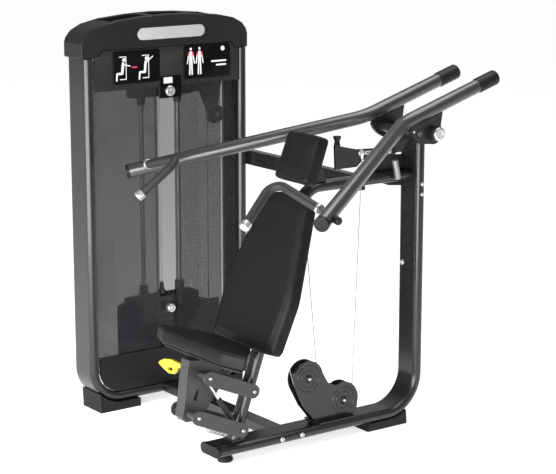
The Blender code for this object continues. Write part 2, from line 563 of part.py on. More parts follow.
# ---- press arms --------------------------------------------------------------------------------
def build_arms():
    """Both arm tubes with sleeves, brackets, grips, shaft, cross bar and lever."""
    for name, s in (("left", 1), ("right", -1)):
        def m(v):
            return Vector((v[0] * s, v[1], v[2]))
        tail_dir = (ARM_TAIL - ARM_BEND).normalized()
        path = [m(p) for p in rounded([ARM_TIP, ARM_BEND, ARM_TAIL], (0.16,), 8)]
        sweep_round(f"arm_tube_{name}", path, ARM_R, 20, "arm", origin=PIVOT)
        lathe(f"arm_sleeve_{name}", m(ARM_TAIL + tail_dir * GAP), m(tail_dir),
              [(0, 0.0285), (0.004, 0.030), (0.094, 0.030), (0.100, 0.026)], "black", 20,
              origin=PIVOT)
        bracket = circle(PIVOT.y, PIVOT.z, 0.044, 10, math.radians(-110), math.radians(35))
        tube = ARM_BEND + tail_dir * 0.03
        line = lambda y: tube.z + (y - tube.y) * tail_dir.z / tail_dir.y - 0.0285 - GAP
        bracket += [(0.700, line(0.700)), (0.545, line(0.545)), (0.536, 1.194), (0.544, 1.176),
                    (0.565, 1.154), (0.592, 1.138)]
        holes = [circle(PIVOT.y, PIVOT.z, 0.0155, 20), circle(BAR_Y, BAR_Z, 0.0125, 16)]
        prism(f"arm_bracket_{name}", bracket, "X", min(0.108 * s, 0.122 * s),
              max(0.108 * s, 0.122 * s), "black", holes=holes, origin=PIVOT)
        at = Vector((0.543, -0.2218, 1.0505))
        grip = rounded([at, (0.296, -0.232, 1.112), (0.341, -0.378, 0.985)], (0.045,), 7)
        sweep_round(f"handle_grip_{name}", [m(p) for p in grip], 0.0165, 14, "foam", origin=PIVOT)
    profile = [(-0.163, 0.020), (-0.160, 0.0265), (-0.150, 0.0265), (-0.150, 0.016), (-0.146, 0.016),
               (-0.146, 0.029), (-0.1223, 0.029), (-0.1223, 0.015)]
    profile += [(-s, r) for s, r in reversed(profile)]
    lathe("pivot_shaft", PIVOT, (1, 0, 0), profile, "silver", 24, origin=PIVOT)
    lathe("arm_cross_bar", (-0.127, BAR_Y, BAR_Z), (1, 0, 0),
          [(0, 0.012), (0.0193, 0.012), (0.0193, 0.018), (0.2347, 0.018), (0.2347, 0.012),
           (0.254, 0.012)], "frame", 20, origin=PIVOT)
    lever = [(0.236, 1.158), (0.240, 1.064), (0.342, 1.064), (0.370, 1.088), (0.520, 1.100),
             (0.560, 1.100), (0.590, 1.136), (0.604, 1.154), (0.612, 1.178), (0.604, 1.198),
             (0.585, 1.206), (0.566, 1.198), (0.555, 1.170), (0.540, 1.136), (0.520, 1.122),
             (0.345, 1.131), (0.262, 1.151), (0.262, 1.158)]
    prism("arm_lever", lever, "X", 0.032, 0.044, "black", holes=[circle(BAR_Y, BAR_Z, 0.0183, 20)],
          origin=PIVOT)


build_tower()
build_stack()
build_frame()
build_pads()
build_seat_linkage()
build_floor_pulleys()
build_cables()
build_arms()
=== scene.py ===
"""Looks of a selectorised shoulder press machine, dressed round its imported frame.

Lengths are metres.  Shapes are laid out from the middle of the base beam, as in the machine's
own drawing, and Workshop.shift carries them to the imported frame, whose origin is the front foot.
"""
from __future__ import annotations

import json
import logging
import math
from dataclasses import dataclass, field
from enum import Enum
from typing import Any, Iterable, Sequence

import bmesh
import bpy
import numpy as np
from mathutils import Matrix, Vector
from mathutils.bvhtree import BVHTree

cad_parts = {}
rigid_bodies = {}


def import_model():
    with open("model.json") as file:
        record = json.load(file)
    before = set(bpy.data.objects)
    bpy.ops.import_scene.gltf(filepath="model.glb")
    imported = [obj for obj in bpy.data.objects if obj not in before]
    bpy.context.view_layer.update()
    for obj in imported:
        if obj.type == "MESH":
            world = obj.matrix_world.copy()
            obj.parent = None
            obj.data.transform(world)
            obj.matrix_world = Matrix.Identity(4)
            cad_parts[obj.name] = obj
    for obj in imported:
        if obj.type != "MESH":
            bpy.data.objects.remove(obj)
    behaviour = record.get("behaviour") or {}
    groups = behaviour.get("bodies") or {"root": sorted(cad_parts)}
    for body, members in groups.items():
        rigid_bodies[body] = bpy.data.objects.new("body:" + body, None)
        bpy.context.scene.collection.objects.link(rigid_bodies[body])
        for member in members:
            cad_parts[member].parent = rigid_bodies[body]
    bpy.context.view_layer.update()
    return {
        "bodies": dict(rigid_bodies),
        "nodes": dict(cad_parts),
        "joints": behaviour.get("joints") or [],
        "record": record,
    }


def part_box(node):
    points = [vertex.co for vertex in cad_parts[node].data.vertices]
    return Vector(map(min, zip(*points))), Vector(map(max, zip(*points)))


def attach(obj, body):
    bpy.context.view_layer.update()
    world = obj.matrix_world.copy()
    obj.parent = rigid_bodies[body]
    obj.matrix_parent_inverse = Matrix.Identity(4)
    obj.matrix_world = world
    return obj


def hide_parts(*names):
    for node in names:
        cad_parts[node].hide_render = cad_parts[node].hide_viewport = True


LOG = logging.getLogger("shoulder_press")
Array = np.ndarray
LAYOUT_FOOT = np.array([0.0, -0.243, 0.0])      # front foot in the layout's own frame
X_AXIS = np.array([1.0, 0.0, 0.0])
Y_AXIS = np.array([0.0, 1.0, 0.0])
Z_AXIS = np.array([0.0, 0.0, 1.0])

MERGE_DISTANCE = 1e-5        # points closer than this are one
FLAT_ANGLE = 1.0             # degrees under which two faces count as one flat
EDGE_ANGLE = 28.0            # degrees above which an edge is rounded
FRONT_BAND = 0.02            # depth behind the front within which a cap's face is folded
COAT_ROUGHNESS = 0.12
BUMP_STRENGTH = 0.6

SWELL_ROOM = 0.004           # how much smaller a pad starts than its final size
PAD_CORNER = 0.012           # rounding of a pad's corners
CORNER_STEPS = 6
HELD_DEPTH = 0.006           # the rim that is stapled to the board
CLOTH_STEPS = 20
CLOTH_STIFFNESS = 40
CLOTH_BENDING = 20
CLOTH_PRESSURE = 2.5
WELT_RADIUS = 0.0016

FULL_SMOOTH = 180.0          # degrees: every edge is shaded smooth


# ---- shapes -----------------------------------------------------------------
def vec(*values: float) -> Array:
    """A point or direction as an array."""
    return np.array(values, float)


def spot(*values: float) -> Any:
    """A dataclass field that holds a point or direction."""
    return field(default_factory=lambda: vec(*values))


def unit(v: Array) -> Array:
    """Vectors scaled to length one, along the last axis."""
    return v / np.maximum(np.linalg.norm(v, axis=-1, keepdims=True), 1e-12)


def arc(cx: float, cy: float, r: float, start: float, stop: float, n: int) -> Array:
    """Points at equal angles in degrees, both ends included.

    Args:
        cx, cy: centre. r: radius. start, stop: angles in degrees. n: number of steps.

    Returns:
        An (n + 1, 2) array.
    """
    t = np.radians(np.linspace(start, stop, n + 1))
    return np.stack([cx + r * np.cos(t), cy + r * np.sin(t)], -1)


def ring(n: int) -> Array:
    """Unit circle of n points as cosines and sines."""
    t = np.linspace(0, 2 * math.pi, n, endpoint=False)
    return np.stack([np.cos(t), np.sin(t)], -1)


def stadium(a: Sequence[float], b: Sequence[float], ra: float, rb: float, n: int = 16) -> Array:
    """Outline of the hull of two circles: an arc round each, meeting on the common tangents.

    Args:
        a, b: centres. ra, rb: radii. n: steps in each arc.

    Returns:
        A (2n + 2, 2) array.
    """
    a, b = np.array(a, float), np.array(b, float)
    d = b - a
    base = math.degrees(math.atan2(d[1], d[0]))
    lean = math.degrees(math.acos((ra - rb) / np.hypot(*d)))
    return np.vstack([arc(*b, rb, base - lean, base + lean, n),
                      arc(*a, ra, base + lean, base + 360 - lean, n)])


def bend_path(points: Sequence[Sequence[float]], radius: float, steps: int = 20) -> Array:
    """Polyline with each inner corner replaced by an arc tangent to both of its legs.

    Args:
        points: corner points in 3-D. radius: bend radius. steps: steps in each arc.

    Returns:
        An (n, 3) array of points along the path.
    """
    pts = np.array(points, float)
    out = [pts[:1]]
    for a, b, c in zip(pts[:-2], pts[1:-1], pts[2:]):
        u, v = unit(a - b), unit(c - b)
        half = math.acos(float(np.clip(u @ v, -1, 1))) / 2
        centre = b + unit(u + v) * radius / math.sin(half)
        cut = radius / math.tan(half)
        p, q = b + u * cut - centre, b + v * cut - centre
        total = math.pi - 2 * half
        t = np.linspace(0, 1, steps + 1)[:, None]
        turn = p * np.sin((1 - t) * total) + q * np.sin(t * total)
        out.append(centre + turn / math.sin(total))
    out.append(pts[-1:])
    return np.vstack(out)


def round_corners(outline: Array, radius: float, steps: int = 5) -> Array:
    """Closed 2-D outline with its corners cut by quadratic curves.

    Each curve is (1 - t)^2 p + 2t(1 - t) corner + t^2 q, where p and q lie on the two edges.

    Args:
        outline: (n, 2) points. radius: distance of p and q from the corner. steps: per curve.

    Returns:
        The new outline.
    """
    prev, after = np.roll(outline, 1, 0), np.roll(outline, -1, 0)
    back, ahead = prev - outline, after - outline
    reach_b = np.minimum(radius, 0.45 * np.linalg.norm(back, axis=1))[:, None]
    reach_a = np.minimum(radius, 0.45 * np.linalg.norm(ahead, axis=1))[:, None]
    p, q = outline + unit(back) * reach_b, outline + unit(ahead) * reach_a
    t = np.linspace(0, 1, steps + 1)[None, :, None]
    curve = (1 - t) ** 2 * p[:, None] + 2 * t * (1 - t) * outline[:, None] + t ** 2 * q[:, None]
    return curve.reshape(-1, 2)


def inset(outline: Array, depth: float) -> Array:
    """Closed outline moved inwards: each point slides along the mitre of its two edges.

    Args:
        outline: (n, 2) points. depth: distance from each edge.

    Returns:
        The new outline.
    """
    a = unit(outline - np.roll(outline, 1, 0))
    b = unit(np.roll(outline, -1, 0) - outline)
    x, y = outline[:, 0], outline[:, 1]
    turn = np.sign(np.sum(x * np.roll(y, -1) - np.roll(x, -1) * y))
    na, nb = np.stack([-a[:, 1], a[:, 0]], -1) * turn, np.stack([-b[:, 1], b[:, 0]], -1) * turn
    mitre = unit(na + nb)
    return outline + mitre * (depth / np.maximum(np.sum(mitre * na, 1), 0.4))[:, None]


@dataclass
class Shape:
    """A mesh in the making: points, and faces as lists of point numbers."""

    points: Array
    faces: list[list[int]]

    @staticmethod
    def grid(rings: Array, looped: bool = False) -> "Shape":
        """Skin of rings, quad by quad, closed round each ring.

        Args:
            rings: (rows, columns, 3) points.
            looped: join the last ring to the first one instead of capping both.

        Returns:
            The closed shape.
        """
        rows, cols = rings.shape[:2]
        i = np.arange(rows if looped else rows - 1)[:, None]
        j, k = np.arange(cols)[None, :], (np.arange(cols)[None, :] + 1) % cols
        nxt = (i + 1) % rows
        quads = np.stack([i * cols + j, i * cols + k, nxt * cols + k, nxt * cols + j], -1)
        faces = quads.reshape(-1, 4).tolist()
        if not looped:
            faces += [list(range(cols))[::-1], list(range((rows - 1) * cols, rows * cols))]
        return Shape(rings.reshape(-1, 3), faces)

    @staticmethod
    def join(shapes: Iterable["Shape"]) -> "Shape":
        """Several shapes as one, still separate solids.

        Args:
            shapes: the shapes.

        Returns:
            One shape that holds them all.
        """
        points, faces, start = [], [], 0
        for shape in shapes:
            points.append(shape.points)
            faces += [[n + start for n in face] for face in shape.faces]
            start += len(shape.points)
        return Shape(np.vstack(points), faces)

    def mirrored(self) -> "Shape":
        """The same shape on the other side of the seat's middle plane."""
        return Shape(self.points * vec(-1, 1, 1), self.faces)


def racetrack(width: float, thick: float, n: int = 14) -> Array:
    """Flat-oval section for sweep, which adds the radius along each row's normal.

    Args:
        width, thick: outside size of the tube. n: steps in each end.

    Returns:
        Rows of (a, b, normal a, normal b).
    """
    half, support = width / 2 - thick / 2, 0.003
    right, left = arc(0, 0, 1, -90, 90, n), arc(0, 0, 1, 90, 270, n)
    rows = [np.hstack([np.tile([half, 0.0], (len(right), 1)), right]),
            np.array([[half - support, 0, 0, 1], [support - half, 0, 0, 1]]),
            np.hstack([np.tile([-half, 0.0], (len(left), 1)), left]),
            np.array([[support - half, 0, 0, -1], [half - support, 0, 0, -1]])]
    return np.vstack(rows)


def round_section(n: int = 32) -> Array:
    """Circular section in the form that sweep reads."""
    c = ring(n)
    return np.hstack([np.zeros_like(c), c])


def sweep(path: Array, section: Array, radius: float, side: Array, edge: float = 0.001) -> Shape:
    """A section carried along a path, with both of its end edges rounded.

    Each ring is path + side * (a + na * r) + (side x tangent) * (b + nb * r), where r is the
    radius less a quarter-circle inset over the first and last few rings.

    Args:
        path: (n, 3) points. section: rows from racetrack or round_section.
        radius: section radius. side: direction kept by the section's first axis.
        edge: radius of the rounded end edges.

    Returns:
        The capped tube.
    """
    theta = np.radians(np.linspace(0, 90, 5))
    first, last = unit(path[1] - path[0]), unit(path[-2] - path[-1])
    lead = edge * (1 - np.cos(theta))[:, None]
    pull = edge * (1 - np.sin(theta))
    route = np.vstack([path[0] + first * lead, path[1:-1], (path[-1] + last * lead)[::-1]])
    shrink = np.concatenate([pull, np.zeros(len(path) - 2), pull[::-1]])
    step = unit(np.diff(route, axis=0))
    tangent = unit(np.vstack([step[:1], step[:-1] + step[1:], step[-1:]]))
    across = unit(side - tangent * (tangent @ side)[:, None])
    normal = np.cross(across, tangent)
    r = (radius - shrink)[:, None]
    a, b = section[:, 0] + section[:, 2] * r, section[:, 1] + section[:, 3] * r
    rings = route[:, None] + across[:, None] * a[..., None] + normal[:, None] * b[..., None]
    return Shape.grid(rings)


def turned(start: Array, direction: Array, profile: Sequence[Sequence[float]],
           soft: float = 0.0008, sides: int = 40, looped: bool = False) -> Shape:
    """A profile of (distance, radius) turned about an axis, its corners softened.

    Args:
        start: point on the axis where distance is 0. direction: the axis.
        profile: corner points. soft: rounding of the corners. sides: steps round the axis.
        looped: the profile closes on itself, as for a ring with a bore.

    Returns:
        The turned solid.
    """
    line = np.array(profile, float)
    if looped:
        line = round_corners(line, soft, 3)
    elif len(line) > 2:
        inner = line[1:-1]
        back, ahead = line[:-2] - inner, line[2:] - inner
        reach = np.minimum(soft, 0.45 * np.minimum(np.linalg.norm(back, axis=1),
                                                   np.linalg.norm(ahead, axis=1)))[:, None]
        t = np.linspace(0, 1, 4)[None, :, None]
        p, q = inner + unit(back) * reach, inner + unit(ahead) * reach
        curve = (1 - t) ** 2 * p[:, None] + 2 * t * (1 - t) * inner[:, None] + t ** 2 * q[:, None]
        line = np.vstack([line[:1], curve.reshape(-1, 2), line[-1:]])
    axis = unit(np.array(direction, float))
    helper = X_AXIS if abs(axis[0]) < 0.9 else Z_AXIS
    u = unit(np.cross(axis, helper))
    v = np.cross(axis, u)
    round_ = ring(sides)
    spokes = round_[:, :1] * u + round_[:, 1:] * v
    rings = start + line[:, None, :1] * axis + line[:, None, 1:] * spokes[None]
    return Shape.grid(rings, looped)


def plate(outline: Array, axis: str, low: float, high: float, edge: float = 0.001) -> Shape:
    """An outline given thickness, its rims rounded by rings that step in by a quarter circle.

    Args:
        outline: (n, 2) points in the plane across the axis, as (y, z), (x, z) or (x, y).
        axis: "X", "Y" or "Z". low, high: faces along the axis. edge: rim radius.

    Returns:
        The closed plate.
    """
    theta = np.radians(np.linspace(0, 90, 4))
    steps = [(low + edge * (1 - math.cos(t)), edge * (1 - math.sin(t))) for t in theta]
    steps += [(high - (w - low), d) for w, d in reversed(steps)]
    order = {"X": (2, 0, 1), "Y": (0, 2, 1), "Z": (0, 1, 2)}[axis]
    rings = np.stack([np.column_stack([inset(outline, d), np.full(len(outline), w)])
                      for w, d in steps])
    return Shape.grid(rings[..., list(order)])


def rectangle(a0: float, a1: float, b0: float, b1: float, radius: float = 0.0) -> Array:
    """Rectangle outline, with rounded corners where a radius is given.

    Args:
        a0, a1, b0, b1: limits along the two axes. radius: corner radius.

    Returns:
        An (n, 2) outline.
    """
    outline = np.array([(a0, b0), (a1, b0), (a1, b1), (a0, b1)], float)
    return round_corners(outline, radius) if radius else outline


def button_head(centre: Array, direction: Array, radius: float) -> Shape:
    """Domed screw head with a round socket.

    Args:
        centre: middle of its seat. direction: the way that it faces. radius: its radius.

    Returns:
        The turned head.
    """
    high = radius * 0.62
    profile = [(-0.002, radius), (high * 0.35, radius), (high, radius * 0.7),
               (high, radius * 0.36), (high * 0.4, radius * 0.33)]
    return turned(centre, direction, profile, soft=radius * 0.3, sides=28)


# ---- shader maths -----------------------------------------------------------
class Signal:
    """A node's output that is added, scaled and mixed like a number."""

    def __init__(self, graph: "Graph", socket: bpy.types.NodeSocket) -> None:
        """Wrap a socket of a graph."""
        self.graph, self.socket = graph, socket

    def _math(self, operation: str, first: Any, second: Any) -> "Signal":
        """One Math node on two values or signals."""
        return self.graph.add("ShaderNodeMath", {"operation": operation}, {0: first, 1: second})

    def __add__(self, other: Any) -> "Signal":
        """Sum."""
        return self._math("ADD", self, other)

    def __sub__(self, other: Any) -> "Signal":
        """Difference."""
        return self._math("SUBTRACT", self, other)

    def __rsub__(self, other: Any) -> "Signal":
        """Reflected difference."""
        return self._math("SUBTRACT", other, self)

    def __mul__(self, other: Any) -> "Signal":
        """Product."""
        return self._math("MULTIPLY", self, other)

    def __pow__(self, other: Any) -> "Signal":
        """Power."""
        return self._math("POWER", self, other)

    __radd__ = __add__
    __rmul__ = __mul__


class Graph:
    """Node tree of one material, filled through a single method."""

    def __init__(self, name: str) -> None:
        """Start a material with only its Principled shader."""
        self.material = bpy.data.materials.new(name)
        self.material.use_nodes = True
        self.tree = self.material.node_tree
        self.shader = self.tree.nodes["Principled BSDF"]

    def add(self, kind: str, settings: dict[str, Any], inputs: dict[Any, Any],
            output: int | str = 0) -> Signal:
        """Add a node.

        Args:
            kind: node type. settings: attributes, set first.
            inputs: socket values or signals. output: which output to return.

        Returns:
            The chosen output as a signal.
        """
        node = self.tree.nodes.new(kind)
        for key, value in settings.items():
            setattr(node, key, value)
        for key, value in inputs.items():
            self.plug(node.inputs[key], value)
        return Signal(self, node.outputs[output])

    def plug(self, socket: bpy.types.NodeSocket, value: Any) -> None:
        """Link a signal to a socket, or set the socket's own value.

        Args:
            socket: the input. value: a signal, number, vector or colour.
        """
        if isinstance(value, Signal):
            self.tree.links.new(value.socket, socket)
        else:
            socket.default_value = value

    def dress(self, inputs: dict[str, Any]) -> None:
        """Plug values and signals into the shader's sockets, by name."""
        for key, value in inputs.items():
            self.plug(self.shader.inputs[key], value)

    def place(self) -> Signal:
        """The piece's own coordinates."""
        return self.add("ShaderNodeTexCoord", {}, {}, "Object")

    def noise(self, scale: float, detail: float = 2.0,
              stretch: Sequence[float] | None = None) -> Signal:
        """Noise over the piece's own coordinates.

        Args:
            scale: cells in a metre. detail: octaves. stretch: scale along each axis.

        Returns:
            A value near 0.5.
        """
        place = self.place()
        if stretch:
            place = self.add("ShaderNodeMapping", {}, {"Vector": place, "Scale": stretch})
        return self.add("ShaderNodeTexNoise", {},
                        {"Vector": place, "Scale": scale, "Detail": detail})

    def cells(self, scale: float, feature: str = "F1") -> Signal:
        """Distance to the nearest cell point, or to the nearest cell edge."""
        return self.add("ShaderNodeTexVoronoi", {"feature": feature},
                        {"Vector": self.place(), "Scale": scale})

    def tint(self, factor: Signal, dark: Sequence[float], light: Sequence[float]) -> Signal:
        """Colour between two tones."""
        return self.add("ShaderNodeMix", {"data_type": "RGBA"},
                        {0: factor, 6: (*dark, 1), 7: (*light, 1)}, 2)


class Grain(Enum):
    """Surface relief of a finish."""

    PAINT = "orange peel of sprayed paint"
    MOULD = "fine moulded texture"
    VINYL = "leather-like grain"
    FOAM = "open skin of foam rubber"
    STEEL = "drawn and polished metal"
    CAST = "plate steel under thick paint"
    SHEET = "smooth sheet"


@dataclass(frozen=True)
class Finish:
    """One finish: its colour, gloss and relief."""

    name: str
    slot: str
    tone: tuple[float, float, float]
    roughness: float
    metallic: float = 0.0
    grain: Grain = Grain.MOULD
    mottle: float = 0.10
    coat: float = 0.0
    alpha: float = 1.0
    shine: float = 0.5

    def relief(self, graph: Graph) -> tuple[Signal, float]:
        """Relief of this grain.

        Args:
            graph: the material's graph.

        Returns:
            The height signal, and its depth in metres.
        """
        if self.grain is Grain.PAINT:
            return graph.noise(260, 1.0) + graph.noise(1100, 2.0) * 0.25, 0.000025
        if self.grain is Grain.MOULD:
            return graph.cells(1300) + graph.noise(2400, 2.0) * 0.5, 0.00004
        if self.grain is Grain.VINYL:
            folds = graph.cells(520, "DISTANCE_TO_EDGE") ** 0.5
            fine, broad = graph.noise(1500, 3.0), graph.noise(55, 3.0)
            return folds * 0.8 + fine * 0.25 + broad * 0.6, 0.00028
        if self.grain is Grain.FOAM:
            return graph.noise(1900, 3.0) + graph.cells(900) * 0.6, 0.00018
        if self.grain is Grain.STEEL:
            return graph.noise(700, 2.0, (1.0, 1.0, 0.02)), 0.00002
        if self.grain is Grain.CAST:
            return graph.noise(420, 4.0) + graph.noise(1600, 2.0) * 0.35, 0.00006
        return graph.noise(12, 1.0), 0.00001

    def build(self) -> bpy.types.Material:
        """Make the material: mottled colour, smudged gloss and the grain's relief.

        Returns:
            The new material.
        """
        graph = Graph(self.name)
        share = graph.noise(7.0, 4.0)
        speck = None if self.grain is Grain.SHEET else graph.noise(420.0, 2.0)
        if speck:
            share = share * 0.7 + speck * 0.3
        dark = [c * (1 - self.mottle) for c in self.tone]
        light = [min(c * (1 + self.mottle) + 0.002, 1.0) for c in self.tone]
        smudge = graph.noise(16.0, 5.0) - 0.5
        gloss = smudge * (0.35 * self.roughness) + self.roughness
        if speck:
            gloss = gloss + (speck - 0.5) * 0.04
        height, depth = self.relief(graph)
        bump = graph.add("ShaderNodeBump", {},
                         {"Strength": BUMP_STRENGTH, "Distance": depth, "Height": height})
        graph.dress({"Base Color": graph.tint(share, dark, light), "Roughness": gloss,
                     "Metallic": self.metallic, "Coat Weight": self.coat,
                     "Coat Roughness": COAT_ROUGHNESS, "Alpha": self.alpha,
                     "Specular IOR Level": self.shine, "Normal": bump})
        return graph.material


FRAME_PAINT = Finish("frame_paint", "graphite_paint", (0.023, 0.023, 0.025), 0.28, 0.55,
                     Grain.PAINT, coat=0.35)
ARM_PAINT = Finish("arm_paint", "arm_paint", (0.085, 0.085, 0.088), 0.30, 0.80, Grain.PAINT,
                   mottle=0.08, coat=0.2)
LINK_PAINT = Finish("link_paint", "link_paint", (0.048, 0.048, 0.050), 0.42, 0.30, Grain.CAST)
BLACK_STEEL = Finish("black_steel", "black_steel", (0.013, 0.013, 0.014), 0.36, 0.30, Grain.CAST)
STACK_STEEL = Finish("stack_steel", "black_steel", (0.016, 0.016, 0.017), 0.45, 0.2, Grain.CAST)
CAP_PLASTIC = Finish("cap_plastic", "black_plastic", (0.0085, 0.0085, 0.009), 0.42, shine=0.20)
SILVER_FACE = Finish("badge_silver", "silver_trim", (0.46, 0.46, 0.47), 0.36, 0.35, Grain.STEEL,
                     mottle=0.08)
DULL_STEEL = Finish("dull_steel", "chrome", (0.30, 0.30, 0.305), 0.34, 0.75, Grain.STEEL,
                    mottle=0.08)
HEADER_SHEET = Finish("header_sheet", "black_plastic", (0.024, 0.024, 0.026), 0.22,
                      grain=Grain.SHEET, mottle=0.05, alpha=0.80, shine=0.15)
PLACARD_BOARD = Finish("placard_board", "black_plastic", (0.0012, 0.0013, 0.0013), 0.24,
                       grain=Grain.SHEET, shine=0.10)
PRINT_WHITE = Finish("print_white", "silver_trim", (0.72, 0.72, 0.72), 0.5, grain=Grain.SHEET,
                     mottle=0.03)
PRINT_RED = Finish("print_red", "silver_trim", (0.55, 0.02, 0.06), 0.5, grain=Grain.SHEET,
                   mottle=0.05)
RUBBER = Finish("rubber", "black_rubber", (0.006, 0.006, 0.006), 0.55, grain=Grain.FOAM,
                mottle=0.15, shine=0.25)
SILVER = Finish("silver_trim", "silver_trim", (0.62, 0.62, 0.64), 0.28, 0.9, Grain.STEEL,
                mottle=0.06)
BUMPER_GREY = Finish("bumper_grey", "silver_trim", (0.34, 0.34, 0.35), 0.55)
CHROME = Finish("chrome", "chrome", (0.78, 0.78, 0.79), 0.10, 1.0, Grain.STEEL, mottle=0.03)
SMOKE = Finish("smoked_sheet", "smoked_sheet", (0.030, 0.030, 0.034), 0.06, grain=Grain.SHEET,
               mottle=0.04, alpha=0.49, shine=0.15)
SMOKE_REAR = Finish("smoked_sheet_rear", "smoked_sheet", (0.030, 0.030, 0.034), 0.12,
                    grain=Grain.SHEET, mottle=0.04, alpha=0.47, shine=0.15)
PULLEY = Finish("pulley_plastic", "pulley_plastic", (0.009, 0.009, 0.010), 0.22)
VINYL = Finish("black_vinyl", "black_vinyl", (0.0065, 0.0065, 0.007), 0.42, grain=Grain.VINYL,
               shine=0.15)
FOAM = Finish("grip_foam", "grip_foam", (0.011, 0.011, 0.012), 0.58, grain=Grain.FOAM,
              mottle=0.15)
YELLOW = Finish("yellow_plastic", "yellow_plastic", (0.60, 0.47, 0.003), 0.34, mottle=0.05,
                coat=0.2)
CABLE = Finish("cable_jacket", "cable_jacket", (0.34, 0.34, 0.34), 0.35, grain=Grain.SHEET,
               mottle=0.15)


# ---- workshop ---------------------------------------------------------------
class Workshop:
    """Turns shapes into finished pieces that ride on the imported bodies."""

    def __init__(self, frame: dict[str, Any]) -> None:
        """Keep the frame and find where the layout sits in it.
        """
        low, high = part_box("front_foot")
        middle = np.array((low + high) / 2)
        self.shift = vec(middle[0], middle[1], low.z) - LAYOUT_FOOT
        self.nodes = frame["nodes"]
        groups = frame["record"]["behaviour"]["bodies"]
        self.home = {node: body for body, group in groups.items() for node in group}
        self.materials: dict[str, bpy.types.Material] = {}

    def material(self, finish: Finish) -> bpy.types.Material:
        """The finish's material, made once."""
        if finish.name not in self.materials:
            self.materials[finish.name] = finish.build()
        return self.materials[finish.name]

    def hang(self, obj: bpy.types.Object, finish: Finish, body: str,
             stands_for: Sequence[str] = ()) -> bpy.types.Object:
        """Give a piece its finish and body.

        Args:
            obj: the finished object. finish: its finish. body: the body that it rides on.
            stands_for: CAD nodes that it replaces.

        Returns:
            The same object.
        """
        obj.data.materials.clear()
        obj.data.materials.append(self.material(finish))
        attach(obj, body)
        if stands_for:
            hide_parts(*stands_for)
        LOG.info("%s on %s, %d faces", obj.name, body, len(obj.data.polygons))
        return obj

    def add(self, name: str, shape: Shape, finish: Finish, body: str,
            stands_for: Sequence[str] = (), sharp: float = 38.0) -> bpy.types.Object:
        """Make a shape a piece.

        Args:
            name: piece name. shape: points and faces in the layout's frame.
            finish: its finish. body: the body that it rides on.
            stands_for: CAD nodes that it replaces. sharp: edges above this angle stay crisp.

        Returns:
            The new object.
        """
        mesh = bpy.data.meshes.new(name)
        mesh.from_pydata((shape.points + self.shift).tolist(), [], shape.faces)
        bm = bmesh.new()
        bm.from_mesh(mesh)
        bmesh.ops.recalc_face_normals(bm, faces=bm.faces)
        bm.to_mesh(mesh)
        bm.free()
        return self.hang(self.shaded(name, mesh, sharp), finish, body, stands_for)

    @staticmethod
    def shaded(name: str, mesh: bpy.types.Mesh, sharp: float) -> bpy.types.Object:
        """Smooth the mesh's shading up to an angle and give it an object.

        Args:
            name: the object's name. mesh: its mesh.
            sharp: edges above this angle, in degrees, stay crisp.

        Returns:
            The object, in the scene.
        """
        mesh.shade_smooth()
        mesh.set_sharp_from_angle(angle=math.radians(sharp))
        obj = bpy.data.objects.new(name, mesh)
        bpy.context.scene.collection.objects.link(obj)
        return obj

    def rework(self, node: str, finish: Finish, edge: float = 0.001, name: str = "",
               creases: Sequence[float] = (), lean: float = 0.0) -> bpy.types.Object:
        """Finish a CAD solid as a made part: triangles merged, flats joined, edges rounded.

        Args:
            node: the CAD node that the piece stands for. finish: its finish.
            edge: radius of the rounded edges. name: piece name, from the node's by default.
            creases: Y planes where the front face is folded. lean: how far it then falls back.

        Returns:
            The new object.
        """
        bm = bmesh.new()
        bm.from_mesh(self.nodes[node].data)
        bmesh.ops.remove_doubles(bm, verts=bm.verts, dist=MERGE_DISTANCE)
        bmesh.ops.dissolve_limit(bm, angle_limit=math.radians(FLAT_ANGLE), verts=bm.verts,
                                 edges=bm.edges)
        for plane in creases:
            geometry = bm.verts[:] + bm.edges[:] + bm.faces[:]
            bmesh.ops.bisect_plane(bm, geom=geometry, plane_co=(0, plane, 0),
                                   plane_no=tuple(Y_AXIS))
        if creases:
            middle, half = sum(creases) / 2, (max(creases) - min(creases)) / 2
            front = max(v.co.x for v in bm.verts)
            for v in bm.verts:
                past = abs(v.co.y - middle) - half
                if past > 0 and v.co.x > front - FRONT_BAND:
                    v.co.x -= lean * past
        mesh = bpy.data.meshes.new(name or node + "_part")
        bm.to_mesh(mesh)
        bm.free()
        obj = self.shaded(mesh.name, mesh, 30)
        bevel = obj.modifiers.new("rounded_edges", "BEVEL")
        bevel.width, bevel.segments = edge, 3
        bevel.limit_method, bevel.angle_limit = "ANGLE", math.radians(EDGE_ANGLE)
        bevel.harden_normals = True
        return self.hang(obj, finish, self.home[node], [node])

    def bore(self, piece: bpy.types.Object, start: Array, way: Array, radius: float,
             length: float) -> None:
        """Drill a finished piece, so that a rope can run through it.

        Args:
            piece: the piece to drill. start, way: where the drill starts and its direction.
            radius, length: size of the hole.
        """
        drill = turned(start + self.shift, way, [(0, radius), (length, radius)], sides=20)
        mesh = bpy.data.meshes.new("drill")
        mesh.from_pydata(drill.points.tolist(), [], drill.faces)
        tool = bpy.data.objects.new("drill", mesh)
        bpy.context.scene.collection.objects.link(tool)
        cut = piece.modifiers.new("bore", "BOOLEAN")
        cut.operation, cut.solver, cut.object = "DIFFERENCE", "EXACT", tool
        bpy.context.view_layer.update()
        drilled = bpy.data.meshes.new_from_object(
            piece.evaluated_get(bpy.context.evaluated_depsgraph_get()))
        piece.modifiers.clear()
        piece.data = drilled
        bpy.data.objects.remove(tool, do_unlink=True)


